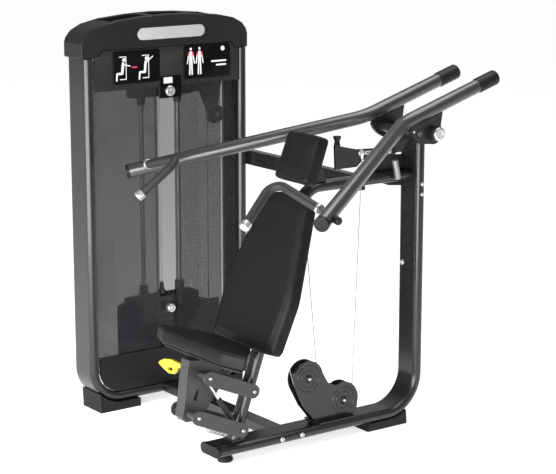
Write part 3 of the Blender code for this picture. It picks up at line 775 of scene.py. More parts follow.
# ---- weight tower -----------------------------------------------------------
@dataclass
class Tower:
    """Hoop, cap, header, placards, shrouds and feet."""

    shop: Workshop
    width: float = 0.145
    thick: float = 0.04
    plane: float = -0.8465
    middle: float = 0.025
    half: float = 0.365
    top: float = 1.4415
    base: float = 0.055
    corner: float = 0.12
    crease: float = 0.257

    def build(self) -> None:
        """Make every piece of the tower's outside."""
        self.hoop()
        self.cap()
        self.header()
        self.pictograms()
        self.panels()

    def hoop(self) -> None:
        """The flat-oval tube, up one side, along the floor and up the other."""
        y0, y1 = self.middle - self.half, self.middle + self.half
        corners = [(self.plane, y0, self.top), (self.plane, y0, self.base),
                   (self.plane, y1, self.base), (self.plane, y1, self.top)]
        tube = sweep(bend_path(corners, self.corner, 28), racetrack(self.width, self.thick),
                     self.thick / 2, X_AXIS)
        self.shop.add("hoop_tube", tube, FRAME_PAINT, "frame", ["tower_frame"])

    def cap(self) -> None:
        """Moulded cap with its folded front, and the blank badge on it."""
        y = self.middle + self.shop.shift[1]
        self.shop.rework("tower_cap", CAP_PLASTIC, 0.009, "cap_shell",
                         (y - self.crease, y + self.crease), 0.13)
        outline = stadium((-0.102, 1.527), (0.168, 1.527), 0.026, 0.026, 28)
        rim = plate(outline, "X", -0.7677, -0.7635, 0.0012)
        self.shop.add("badge_rim", rim, BLACK_STEEL, "frame", ["badge"])
        face = plate(inset(outline, 0.0025), "X", -0.7655, -0.7620, 0.0016)
        self.shop.add("badge_face", face, SILVER_FACE, "frame")

    def header(self) -> None:
        """Header band with its boards, label and column knob."""
        self.shop.rework("header_panel", HEADER_SHEET, 0.001)
        back = -0.7777
        for name, y0, y1, z0, z1 in (("left", -0.234, -0.018, 1.334, 1.464),
                                     ("right", 0.098, 0.322, 1.332, 1.466)):
            board = plate(rectangle(y0, y1, z0, z1, 0.012), "X", back, -0.773, 0.0008)
            self.shop.add(f"board_{name}", board, PLACARD_BOARD, "frame", [f"placard_{name}"])
        lining = plate(rectangle(-0.300, 0.350, 1.446, 1.500), "X", -0.800, -0.7895, 0.0005)
        self.shop.add("cap_lining", lining, CAP_PLASTIC, "frame")
        front = -0.7775
        tab = plate(rectangle(-0.017, 0.084, 1.2628, 1.352, 0.004), "X", front, front + 0.0022,
                    0.0007)
        self.shop.add("slot_tab", tab, PLACARD_BOARD, "frame")
        label = plate(rectangle(0.0, 0.042, 1.322, 1.346, 0.002), "X", front + 0.0023,
                      front + 0.0028, 0.0002)
        self.shop.add("blank_label", label, PRINT_WHITE, "frame")
        knob = turned(vec(front + 0.001, self.middle, 1.292), X_AXIS,
                      [(0, 0.012), (0.004, 0.012), (0.005, 0.021), (0.012, 0.022), (0.017, 0.019),
                       (0.018, 0.010), (0.016, 0.004)], 0.0015)
        self.shop.add("header_knob", knob, SILVER, "frame")

    @staticmethod
    def capsule(a: Sequence[float], b: Sequence[float], r: float, lift: float = 0.0) -> Shape:
        """One printed stroke of a pictogram, a fraction of a millimetre proud of its board."""
        return plate(stadium(a, b, r, r * 0.98, 8), "X", -0.7732, -0.77275 + lift, 0.0001)

    def pictograms(self) -> None:
        """Plain exercise pictograms: seated figures on one board, standing ones on the other."""
        white, red = [], []
        for y in (-0.190, -0.085):
            white += [self.capsule((y + 0.004, 1.430), (y + 0.005, 1.430), 0.0075, 0.00002),
                      self.capsule((y, 1.416), (y - 0.004, 1.378), 0.0055, 0.00004),
                      self.capsule((y - 0.004, 1.376), (y - 0.026, 1.376), 0.0045, 0.00006),
                      self.capsule((y - 0.028, 1.376), (y - 0.030, 1.350), 0.0035, 0.00008),
                      self.capsule((y + 0.014, 1.440), (y + 0.014, 1.352), 0.0016, 0.00010),
                      self.capsule((y - 0.016, 1.442), (y + 0.014, 1.442), 0.0016, 0.00012),
                      self.capsule((y + 0.014, 1.353), (y - 0.014, 1.353), 0.0016, 0.00014)]
        white += [self.capsule((-0.190, 1.412), (-0.158, 1.404), 0.0022, 0.00016),
                  self.capsule((-0.085, 1.412), (-0.052, 1.436), 0.0022, 0.00016)]
        red.append(self.capsule((-0.147, 1.398), (-0.128, 1.398), 0.0035))
        for y in (0.130, 0.172):
            white += [self.capsule((y, 1.452), (y, 1.453), 0.0052, 0.00002),
                      self.capsule((y, 1.436), (y, 1.408), 0.0078, 0.00004),
                      self.capsule((y - 0.004, 1.404), (y - 0.006, 1.350), 0.0034, 0.00006),
                      self.capsule((y + 0.004, 1.404), (y + 0.006, 1.350), 0.0034, 0.00008),
                      self.capsule((y - 0.010, 1.434), (y - 0.017, 1.394), 0.0025, 0.00010),
                      self.capsule((y + 0.010, 1.434), (y + 0.017, 1.394), 0.0025, 0.00012)]
            red += [self.capsule((y - 0.009, 1.437), (y - 0.012, 1.428), 0.0036, 0.0002),
                    self.capsule((y + 0.009, 1.437), (y + 0.012, 1.428), 0.0036, 0.0002)]
        white += [self.capsule((0.285, 1.446), (0.286, 1.446), 0.0095, 0.00014),
                  self.capsule((0.232, 1.396), (0.300, 1.396), 0.0035, 0.00016),
                  self.capsule((0.256, 1.380), (0.300, 1.380), 0.0035, 0.00018)]
        self.shop.add("pictogram_strokes", Shape.join(white), PRINT_WHITE, "frame")
        self.shop.add("pictogram_accents", Shape.join(red), PRINT_RED, "frame")

    def panels(self) -> None:
        """Smoked shrouds, base cover and feet."""
        for node in ("front_shroud_left", "front_shroud_right"):
            self.shop.rework(node, SMOKE, 0.0012)
        self.shop.rework("rear_shroud", SMOKE_REAR, 0.0012)
        self.shop.rework("base_cover", CAP_PLASTIC, 0.0012)
        right = [(0.112, 0.10), (0.276, 0.10), (0.276, 0.3955), (0.250, 0.3945), (0.222, 0.3962),
                 (0.153, 0.418), (0.112, 0.436)]
        left = [(-0.222, 0.10), (-0.062, 0.10), (-0.062, 0.452), (-0.160, 0.452), (-0.222, 0.428)]
        guards = [plate(np.array(outline), "X", -0.8005, -0.7975, 0.0008)
                  for outline in (right, left)]
        self.shop.add("inner_guards", Shape.join(guards), CAP_PLASTIC, "frame")
        for node in ("tower_foot_left", "tower_foot_right"):
            self.shop.rework(node, RUBBER, 0.010)


@dataclass
class Stack:
    """Weight stack, guide rods, selector and the pulley run inside the tower."""

    shop: Workshop
    rod_x: float = -0.850
    middle: float = 0.025
    spread: float = 0.0875
    low: float = 0.106
    plate_high: float = 0.027
    plates: int = 10
    face: float = -0.812
    top: float = 0.434

    def build(self) -> None:
        """Make every piece inside the tower."""
        shop = self.shop
        shop.rework("stack_base", BLACK_STEEL, 0.002)
        shop.rework("stack_plates", STACK_STEEL, 0.0006)
        block = shop.rework("stack_lifted", STACK_STEEL, 0.0010)
        shop.bore(block, vec(self.rod_x, self.middle, 0.30), Z_AXIS, 0.0032, 0.30)
        shop.rework("rod_top_bracket", BLACK_STEEL, 0.001)
        self.rods()
        self.selector()
        self.pulley_run()

    def rods(self) -> None:
        """Guide rods with their top collars, and the bushes on the lifted block."""
        collars, bushes = [], []
        for side, y in (("left", self.middle - self.spread), ("right", self.middle + self.spread)):
            rod = turned(vec(self.rod_x, y, self.low), Z_AXIS, [(0, 0.0095), (1.1562, 0.0095)])
            self.shop.add(f"rod_{side}", rod, DULL_STEEL, "frame", [f"guide_rod_{side}"])
            collar = [(0, 0.0105), (0, 0.017), (0.030, 0.017), (0.030, 0.0105)]
            collars.append(turned(vec(self.rod_x, y, 1.232), Z_AXIS, collar, 0.002, looped=True))
            bushes.append(turned(vec(self.rod_x, y, self.top + 0.0003), Z_AXIS,
                                 [(0, 0.0108), (0, 0.021), (0.008, 0.021), (0.011, 0.0175),
                                  (0.014, 0.020), (0.046, 0.020), (0.050, 0.017), (0.050, 0.0108)],
                                 0.001, looped=True))
        self.shop.add("rod_collars", Shape.join(collars), BLACK_STEEL, "frame")
        self.shop.add("rod_bushes", Shape.join(bushes), PULLEY, "lifted_stack")

    def selector(self) -> None:
        """Stem, pull pin and the row of pin holes down the front."""
        stem = turned(vec(self.rod_x, self.middle, self.top + 0.0003), Z_AXIS,
                      [(0, 0.0032), (0, 0.022), (0.010, 0.022), (0.022, 0.010), (0.036, 0.0085),
                       (0.052, 0.007), (0.052, 0.0032)], 0.002, looped=True)
        self.shop.add("stem_cone", stem, BLACK_STEEL, "lifted_stack", ["selector_stem"])
        height = self.low + self.plates * self.plate_high + 0.0135
        pin = turned(vec(-0.838, self.middle, height), X_AXIS,
                     [(0, 0.003), (0.001, 0.004), (0.034, 0.004), (0.034, 0.013), (0.038, 0.0135),
                      (0.042, 0.0185), (0.060, 0.0190), (0.066, 0.0165), (0.068, 0.010),
                      (0.0665, 0.004)], 0.0018)
        self.shop.add("pull_pin", pin, SILVER, "selector_pin", ["selector_pin"])
        rims = []
        for row in range(self.plates):
            z = self.low + self.plate_high * (row + 0.5)
            rims.append(turned(vec(self.face - 0.001, self.middle, z), X_AXIS,
                               [(0, 0.0046), (0, 0.0075), (0.0018, 0.0068), (0.0018, 0.0046)],
                               0.0004, 24, True))
        self.shop.add("pin_hole_rims", Shape.join(rims), BLACK_STEEL, "frame")

    def pulley_run(self) -> None:
        """Tower pulley on its axle, and both cables of the tower."""
        hub = vec(-0.854, 0.299, 1.165)
        wheel = grooved_wheel(hub, 0.040, 0.009, 0.0083)
        self.shop.add("tower_wheel", wheel, PULLEY, "tower_pulley", ["tower_pulley"])
        heads = button_head(hub + vec(0.020, 0, 0), X_AXIS, 0.010)
        self.shop.add("tower_axle_head", heads, SILVER, "frame")
        line = np.array([(self.rod_x, self.middle, self.top + 0.0526),
                         (self.rod_x, self.middle, 1.2615)])
        self.shop.add("stack_cable", sweep(line, round_section(12), 0.0025, X_AXIS, 0.0005),
                      CABLE, "frame", ["cable_stack"])
        reach = 0.0385
        over = arc(0, 0, reach, 180, 0, 24)
        loop = hub + np.column_stack([np.zeros(len(over)), over])
        near, far = (vec(hub[0], hub[1] + s * reach, 0.30) for s in (-1, 1))
        route = np.vstack([near, loop, far])
        self.shop.add("tower_cable", sweep(route, round_section(12), 0.0025, X_AXIS, 0.0005),
                      CABLE, "frame", ["cable_tower"])


def grooved_wheel(hub: Array, radius: float, half: float, bore: float) -> Shape:
    """Cable pulley: a bored hub, a dished web and a rim with a rounded groove, turned about X.

    Args:
        hub: its centre. radius: outside radius. half: half its width. bore: radius of its hole.

    Returns:
        The wheel.
    """
    web, lip = half * 0.45, radius - 0.008
    near = [(half, bore), (half, bore + 0.008), (web, bore + 0.011), (web, lip - 0.004),
            (half, lip)]
    groove = [(half, radius), (half * 0.62, radius), (half * 0.12, radius - 0.005)]
    right = near + groove
    left = [(-s, r) for s, r in reversed(right)]
    return turned(hub, X_AXIS, right + left, 0.0012, 64, True)


# ---- base frame -------------------------------------------------------------
@dataclass
class BaseFrame:
    """Base beam with its post, upright, cross tubes, feet and fasteners."""

    shop: Workshop
    tube_width: float = 0.12
    tube_thick: float = 0.04
    beam_z: float = 0.055
    beam_front: float = -0.300
    post_y: float = 0.655
    post_top: float = 1.150
    pivot: Array = spot(0, 0.655, 1.175)
    rear_high: Array = spot(0, -0.163, 0.274)
    rear_low: Array = spot(0, -0.214, 0.132)

    def build(self) -> None:
        """Make every piece of the base frame."""
        self.beam()
        self.upright()
        self.plates()
        self.fasteners()
        self.pivot_parts()

    def beam(self) -> None:
        """Beam and post in one bent tube, with its end plug and feet."""
        corners = [(0, self.beam_front, self.beam_z), (0, self.post_y, self.beam_z),
                   (0, self.post_y, self.post_top)]
        section = racetrack(self.tube_width, self.tube_thick)
        tube = sweep(bend_path(corners, 0.15, 32), section, self.tube_thick / 2, X_AXIS)
        self.shop.add("base_beam_and_post", tube, FRAME_PAINT, "frame", ["main_frame_tube"])
        front = self.beam_front
        plug = np.array([(0, front - 0.0145, self.beam_z), (0, front - 0.008, self.beam_z),
                         (0, front - 0.0003, self.beam_z)])
        cap = sweep(plug, racetrack(self.tube_width + 0.004, self.tube_thick + 0.004),
                    self.tube_thick / 2 + 0.002, X_AXIS, 0.003)
        self.shop.add("beam_plug", cap, CAP_PLASTIC, "frame", ["beam_end_cap"])
        foot = turned(vec(0, -0.243, 0), Z_AXIS, [(0, 0.027), (0.004, 0.030), (0.012, 0.030),
                                                  (0.022, 0.024), (0.0347, 0.024)], 0.002)
        self.shop.add("front_pad_foot", foot, RUBBER, "frame", ["front_foot"])
        self.shop.rework("rear_foot", RUBBER, 0.004)

    def upright(self) -> None:
        """Inclined tube behind the back rest, bent back to meet the post."""
        slope, foot_y, high = 0.362, -0.208, 1.0
        base = (0, foot_y + slope * 0.003, 0.078)
        bend = (0, foot_y + slope * (high - 0.075), high)
        path = bend_path([base, bend, (0, self.post_y - 0.018, high)], 0.09, 24)
        tube = sweep(path, racetrack(0.06, 0.04), 0.02, X_AXIS)
        rods = []
        for pin in (self.rear_high, self.rear_low):
            rods += [turned(pin - vec(0.082, 0, 0), X_AXIS, [(0, 0.0045), (0.0015, 0.006),
                                                             (0.0160, 0.006)]),
                     turned(pin - vec(0.0657, 0, 0), X_AXIS, [(0, 0.0135), (0.1314, 0.0135)]),
                     turned(pin + vec(0.082, 0, 0), -X_AXIS, [(0, 0.0045), (0.0015, 0.006),
                                                              (0.0160, 0.006)])]
        sole = plate(rectangle(-0.034, 0.034, -0.228, -0.172, 0.006), "Z", 0.0753, 0.084, 0.002)
        self.shop.add("inclined_upright", Shape.join([tube, sole]), FRAME_PAINT, "frame",
                      ["backrest_upright"])
        self.shop.add("link_rods", Shape.join(rods), BLACK_STEEL, "frame")

    def plates(self) -> None:
        """Cross tubes, gusset, head bracket and bumper."""
        self.shop.rework("lower_cross_tube", FRAME_PAINT, 0.004)
        self.shop.rework("upper_cross_tube", FRAME_PAINT, 0.004)
        self.shop.rework("post_gusset", BLACK_STEEL, 0.0015)
        self.shop.rework("head_bracket", BLACK_STEEL, 0.003)
        self.shop.rework("seat_bumper", BUMPER_GREY, 0.0008)

    def fasteners(self) -> None:
        """Screw heads on the beam, on the post and at the links' rear pins."""
        half = self.tube_width / 2
        heads = [button_head(vec(half, y, self.beam_z), X_AXIS, 0.010) for y in (-0.020, 0.074)]
        heads += [button_head(vec(half, self.post_y, z), X_AXIS, 0.008) for z in (0.925, 0.965)]
        heads += [button_head(vec(-0.03, self.post_y - self.tube_thick / 2, 0.64), -Y_AXIS, 0.011)]
        heads += [button_head(pin + vec(s * 0.0795, 0, 0), vec(s, 0, 0), 0.0072)
                  for pin in (self.rear_high, self.rear_low) for s in (-1, 1)]
        self.shop.add("frame_screws", Shape.join(heads), SILVER, "frame")

    def pivot_parts(self) -> None:
        """Pivot housing on the post and the sprung stop with its rubber head."""
        ring_ = turned(self.pivot, X_AXIS, [(-0.060, 0.0155), (-0.060, 0.038), (0.060, 0.038),
                                            (0.060, 0.0155)], 0.003, 56, True)
        self.shop.add("pivot_barrel", ring_, BLACK_STEEL, "frame", ["pivot_housing"])
        start, way = vec(0.043, 0.5453, 0.9965), unit(vec(0, -0.22, 0.9755))
        post = turned(start, way, [(0, 0.0115), (0.0015, 0.0125), (0.076, 0.0125), (0.078, 0.011)])
        self.shop.add("stop_sleeve", post, DULL_STEEL, "frame", ["stop_post"])
        head = turned(start + way * 0.0783, way, [(0, 0.0105), (0.001, 0.0115), (0.008, 0.0115),
                                                  (0.011, 0.009)], 0.001)
        self.shop.add("stop_buffer", head, RUBBER, "frame")


# ---- pads -------------------------------------------------------------------
@dataclass
class Pad:
    """A vinyl pad on its board: outline, thickness and place."""

    name: str
    node: str
    body: str
    outline: Array
    origin: Array
    up: Array
    out: Array
    thick: float
    edge: float
    crown: float
    voxel: float = 0.005
    corners: tuple[int, ...] = ()

    def place(self, flat: Array, depth: float) -> Array:
        """Outline points set into the machine: x across, y along up, depth behind the front."""
        return self.origin + flat[:, :1] * X_AXIS + flat[:, 1:] * self.up - depth * self.out

    def body_shape(self, shrink: float) -> Shape:
        """Closed form: back rim, straight side, then a quarter round onto the front face.

        Args:
            shrink: how much smaller than the finished pad it is.

        Returns:
            The form.
        """
        outline = inset(round_corners(self.outline, PAD_CORNER, CORNER_STEPS), shrink)
        depth = self.thick - shrink
        rings = [self.place(inset(outline, 0.004), depth), self.place(outline, depth - 0.003)]
        for t in np.radians(np.linspace(0, 90, 6)):
            rings.append(self.place(inset(outline, self.edge * (1 - math.cos(t))),
                                    shrink + self.edge * (1 - math.sin(t))))
        return Shape.grid(np.stack(rings))

    def build(self, shop: Workshop) -> None:
        """Model, inflate, sew and hang the pad.

        Args:
            shop: the workshop.
        """
        pad = shop.add(self.name, self.body_shape(SWELL_ROOM), VINYL, self.body, [self.node],
                       FULL_SMOOTH)
        self.remesh(pad)
        self.inflate(pad, shop)
        levels = pad.modifiers.new("fine_skin", "SUBSURF")
        levels.levels = levels.render_levels = 1
        pad.data.shade_smooth()
        self.welts(pad, shop)

    def remesh(self, pad: bpy.types.Object) -> None:
        """Even quads all over, so that the skin swells evenly.

        Args:
            pad: the pad's object, whose mesh is replaced.
        """
        modifier = pad.modifiers.new("even", "REMESH")
        modifier.mode, modifier.voxel_size = "VOXEL", self.voxel
        modifier.use_smooth_shade = True
        applied = bpy.data.meshes.new_from_object(
            pad.evaluated_get(bpy.context.evaluated_depsgraph_get()))
        pad.modifiers.clear()
        applied.name = pad.name + "_skin"
        old, pad.data = pad.data, applied
        bpy.data.meshes.remove(old)

    def inflate(self, pad: bpy.types.Object, shop: Workshop) -> None:
        """Swell the skin under pressure with its back held flat, no further than the crown.

        Args:
            pad: the pad's object. shop: the workshop, for where the layout sits.
        """
        scene = bpy.context.scene
        count = len(pad.data.vertices)
        rest = np.empty(count * 3)
        pad.data.vertices.foreach_get("co", rest)
        rest = rest.reshape(-1, 3)
        depth = -((rest - shop.shift - self.origin) @ self.out)
        held = np.nonzero(depth > self.thick - SWELL_ROOM - HELD_DEPTH)[0]
        group = pad.vertex_groups.new(name="board")
        group.add(held.tolist(), 1.0, "REPLACE")
        cloth = pad.modifiers.new("air", "CLOTH")
        cloth.settings.quality = 5
        cloth.settings.mass = 0.3
        cloth.settings.tension_stiffness = CLOTH_STIFFNESS
        cloth.settings.compression_stiffness = CLOTH_STIFFNESS
        cloth.settings.bending_stiffness = CLOTH_BENDING
        cloth.settings.use_pressure = True
        cloth.settings.uniform_pressure_force = CLOTH_PRESSURE
        cloth.settings.vertex_group_mass = group.name
        cloth.settings.effector_weights.gravity = 0
        cloth.point_cache.frame_start, cloth.point_cache.frame_end = 1, CLOTH_STEPS
        for step in range(1, CLOTH_STEPS + 1):
            scene.frame_set(step)
        swollen = np.empty(count * 3)
        evaluated = pad.evaluated_get(bpy.context.evaluated_depsgraph_get()).to_mesh()
        evaluated.vertices.foreach_get("co", swollen)
        move = self.even_out(pad.data, swollen.reshape(-1, 3) - rest)
        reach = np.linalg.norm(move, axis=1, keepdims=True)
        move *= np.minimum(1.0, self.crown / np.maximum(reach, 1e-9))
        pad.modifiers.clear()
        pad.vertex_groups.clear()
        pad.data.vertices.foreach_set("co", (rest + move).ravel())
        pad.data.update()
        scene.frame_set(1)

    @staticmethod
    def even_out(mesh: bpy.types.Mesh, move: Array, rounds: int = 30) -> Array:
        """Average each point's swell with its neighbours' again and again, so no fold is left.

        Args:
            mesh: the pad's mesh. move: the swell of each point. rounds: times to average.

        Returns:
            The smoothed swell.
        """
        pairs = np.empty(len(mesh.edges) * 2, int)
        mesh.edges.foreach_get("vertices", pairs)
        a, b = pairs.reshape(-1, 2).T
        share = np.bincount(pairs, minlength=len(move))[:, None]
        for _ in range(rounds):
            total = np.zeros_like(move)
            np.add.at(total, a, move[b])
            np.add.at(total, b, move[a])
            move = (move + total / share) / 2
        return move

    def welts(self, pad: bpy.types.Object, shop: Workshop) -> None:
        """Sewn edges: a thin welt round the front face and one down each corner.

        Args:
            pad: the pad's object, on whose skin they lie. shop: the workshop.
        """
        tree = BVHTree.FromObject(pad, bpy.context.evaluated_depsgraph_get())
        outline = inset(round_corners(self.outline, PAD_CORNER, CORNER_STEPS), SWELL_ROOM)
        knee = self.edge * 0.29
        front = self.place(inset(outline, knee), SWELL_ROOM + knee)
        lines = [np.vstack([front, front[:1]])]
        for corner in self.corners:
            depths = np.linspace(0.012, self.thick - HELD_DEPTH, 9)
            lines.append(np.vstack([self.place(self.outline[corner][None] * 0.985, d)
                                    for d in depths]))
        tubes = []
        for line in lines:
            nearest = [tree.find_nearest(Vector(p + shop.shift)) for p in line]
            skin = np.array([hit[0] for hit in nearest]) - shop.shift
            normal = np.array([hit[1] for hit in nearest])
            tubes.append(sweep(skin - normal * 0.0006, round_section(10), WELT_RADIUS,
                               X_AXIS + self.out, 0.0004))
        shop.add(self.name + "_welt", Shape.join(tubes), VINYL, self.body, (), FULL_SMOOTH)


def build_pads(shop: Workshop) -> None:
    """Back rest, head rest and seat, with their boards.

    Args:
        shop: the workshop.
    """
    lean = math.atan(0.383)
    up, out = vec(0, math.sin(lean), math.cos(lean)), vec(0, -math.cos(lean), math.sin(lean))
    half = [(0.100, 0.0), (0.190, 0.006), (0.204, 0.020), (0.216, 0.200), (0.214, 0.235),
            (0.150, 0.562), (0.138, 0.580), (0.118, 0.590), (0.060, 0.604)]
    back = np.array(half + [(0, 0.611)] + [(-x, y) for x, y in reversed(half)] + [(0, 0)])
    Pad("back_rest", "back_pad", "frame", back, vec(0, -0.177, 0.433), up, out, 0.054, 0.014,
        0.007, 0.005).build(shop)
    board = plate_in_plane(inset(back, 0.022), vec(0, -0.177, 0.433), up, out, 0.0545, 0.064)
    shop.add("back_board", board, CAP_PLASTIC, "frame")

    wide = 0.106
    half = [(wide - 0.012, 0), (wide, 0.012), (wide - 0.004, 0.183), (wide - 0.016, 0.195)]
    head = np.array(half + [(-x, y) for x, y in reversed(half)])
    Pad("head_rest", "head_pad", "frame", head, vec(0, 0.048, 1.035), up, out, 0.062, 0.013,
        0.006, 0.004).build(shop)

    tilt = math.atan(0.18)
    up, out = vec(0, math.cos(tilt), -math.sin(tilt)), vec(0, math.sin(tilt), math.cos(tilt))
    half = [(0.190, 0.0), (0.200, 0.003), (0.284, 0.036), (0.291, 0.048), (0.283, 0.062),
            (0.122, 0.190), (0.108, 0.200)]
    seat = np.array(half + [(-x, y) for x, y in reversed(half)])
    Pad("seat", "seat_cushion", "seat", seat, vec(0, -0.390, 0.500), up, out, 0.062, 0.012,
        0.006, 0.004, (1, 3, 5, 8, 10, 12)).build(shop)
    board = plate_in_plane(inset(seat, 0.020), vec(0, -0.390, 0.500), up, out, 0.0625, 0.0715)
    shop.add("seat_board", board, CAP_PLASTIC, "seat")


def plate_in_plane(outline: Array, origin: Array, up: Array, out: Array, near: float,
                   far: float) -> Shape:
    """Board behind a pad: the outline between two depths, its rims softened.

    Args:
        outline: (n, 2) points. origin, up, out: where its pad sits. near, far: its depths.

    Returns:
        The board.
    """
    edge = 0.002
    steps = [(near, edge), (near + edge, 0.0), (far - edge, 0.0), (far, edge)]
    rings = [origin + inset(outline, d)[:, :1] * X_AXIS + inset(outline, d)[:, 1:] * up - w * out
             for w, d in steps]
    return Shape.grid(np.stack(rings))


# ---- seat linkage -----------------------------------------------------------
@dataclass
class SeatLinkage:
    """Links, carriage, strut and release lever."""

    shop: Workshop
    rear_high: Array = spot(0, -0.163, 0.274)
    rear_low: Array = spot(0, -0.214, 0.132)
    link: Array = spot(0, -0.194, 0.084)
    outer: float = 0.0763

    def build(self) -> None:
        """Make every piece under the seat."""
        shop = self.shop
        shop.rework("seat_link_upper", LINK_PAINT, 0.0018)
        shop.rework("seat_link_lower", LINK_PAINT, 0.0018)
        shop.rework("seat_carriage", LINK_PAINT, 0.0045)
        shop.rework("seat_lever", YELLOW, 0.0035)
        for level, rear, body in (("upper", self.rear_high, "seat_upper_links"),
                                  ("lower", self.rear_low, "seat_lower_links")):
            heads = [button_head(rear + self.link + vec(s * (self.outer - 0.0005), 0, 0),
                                 vec(s, 0, 0), 0.0072) for s in (-1, 1)]
            shop.add(f"{level}_link_screws", Shape.join(heads), SILVER, body)
        self.strut()

    def strut(self) -> None:
        """Gas strut from the lower rear pin towards the upper front one."""
        axis = self.rear_high + self.link - self.rear_low
        length, way = float(np.linalg.norm(axis)), unit(axis)
        start = self.rear_low + vec(0.034, 0, 0)
        wall = [(0.150, 0.0056), (0.150, 0.0095), (0.148, 0.011), (0.020, 0.011), (0.016, 0.009),
                (0.016, 0.003), (0.030, 0.003), (0.034, 0.0056)]
        barrel = turned(start, way, wall, 0.001, 32, True)
        self.shop.add("strut_tube", barrel, BLACK_STEEL, "strut_barrel", ["strut_barrel"])
        rod = turned(start, way, [(0.120, 0.0045), (0.121, 0.005), (length - 0.021, 0.005),
                                  (length - 0.020, 0.0045)], 0.0004, 28)
        self.shop.add("strut_piston", rod, CHROME, "strut_rod", ["strut_rod"])


# ---- floor pulleys and cables -----------------------------------------------
@dataclass
class CableRun:
    """Floor pulleys, their guard plates and the cables."""

    shop: Workshop
    front: Array = spot(0, 0.132, 0.258)
    rear: Array = spot(0, 0.302, 0.143)
    lever_anchor: Array = spot(0.050, 0.3605, 1.092)
    wrap: float = 0.0575

    def build(self) -> None:
        """Make the pulleys and both cables."""
        shop = self.shop
        shop.rework("floor_pulley_bracket", PULLEY, 0.0012)
        heads = []
        for name, hub in (("front", self.front), ("rear", self.rear)):
            wheel = grooved_wheel(hub, 0.0575, 0.011, 0.0073)
            shop.add(f"{name}_wheel", wheel, PULLEY, f"{name}_pulley", [f"{name}_pulley"])
            heads += [turned(hub + vec(s * 0.0213, 0, 0), vec(s, 0, 0),
                             [(0, 0.0165), (0.003, 0.0165), (0.006, 0.012), (0.0075, 0.012),
                              (0.0085, 0.010)], 0.001) for s in (-1, 1)]
        shop.add("guard_bosses", Shape.join(heads), BLACK_STEEL, "frame")
        rims = [turned(hub + vec(s * 0.0214, 0, 0), vec(s, 0, 0),
                       [(0, r - 0.003), (0, r + 0.003), (0.0022, r + 0.0015),
                        (0.0022, r - 0.0015)], 0.0006, 64, True)
                for hub in (self.front, self.rear) for s in (-1, 1) for r in (0.052, 0.034)]
        shop.add("guard_rims", Shape.join(rims), PULLEY, "frame")
        caps = [button_head(hub + vec(s * 0.0290, 0, 0), vec(s, 0, 0), 0.0065)
                for hub in (self.front, self.rear) for s in (-1, 1)]
        shop.add("guard_screws", Shape.join(caps), SILVER, "frame")
        self.cable("arm_cable", "cable_arm", [self.lever_anchor], self.rear, 0, -165,
                   self.front + vec(0, 0.066, -0.085))
        self.cable("upright_cable", "cable_front", [vec(0, 0.124, 0.905)], self.front, 5, -165,
                   self.front + vec(0, -0.075, 0.045))

    def cable(self, name: str, node: str, lead: list[Array], hub: Array, start: float, stop: float,
              tail: Array) -> None:
        """Taut cable: down to the pulley, round it, and off to its tail.

        Args:
            name: piece name. node: the CAD node that it stands for. lead: where it comes from.
            hub: the pulley's centre. start, stop: angles of the wrap. tail: where it leaves to.
        """
        turn = arc(hub[1], hub[2], self.wrap, start, stop, 20)
        loop = np.column_stack([np.full(len(turn), hub[0]), turn])
        route = np.vstack([np.array(lead), loop, tail[None]])
        self.shop.add(name, sweep(route, round_section(10), 0.002, X_AXIS, 0.0004), CABLE, "frame",
                      [node])


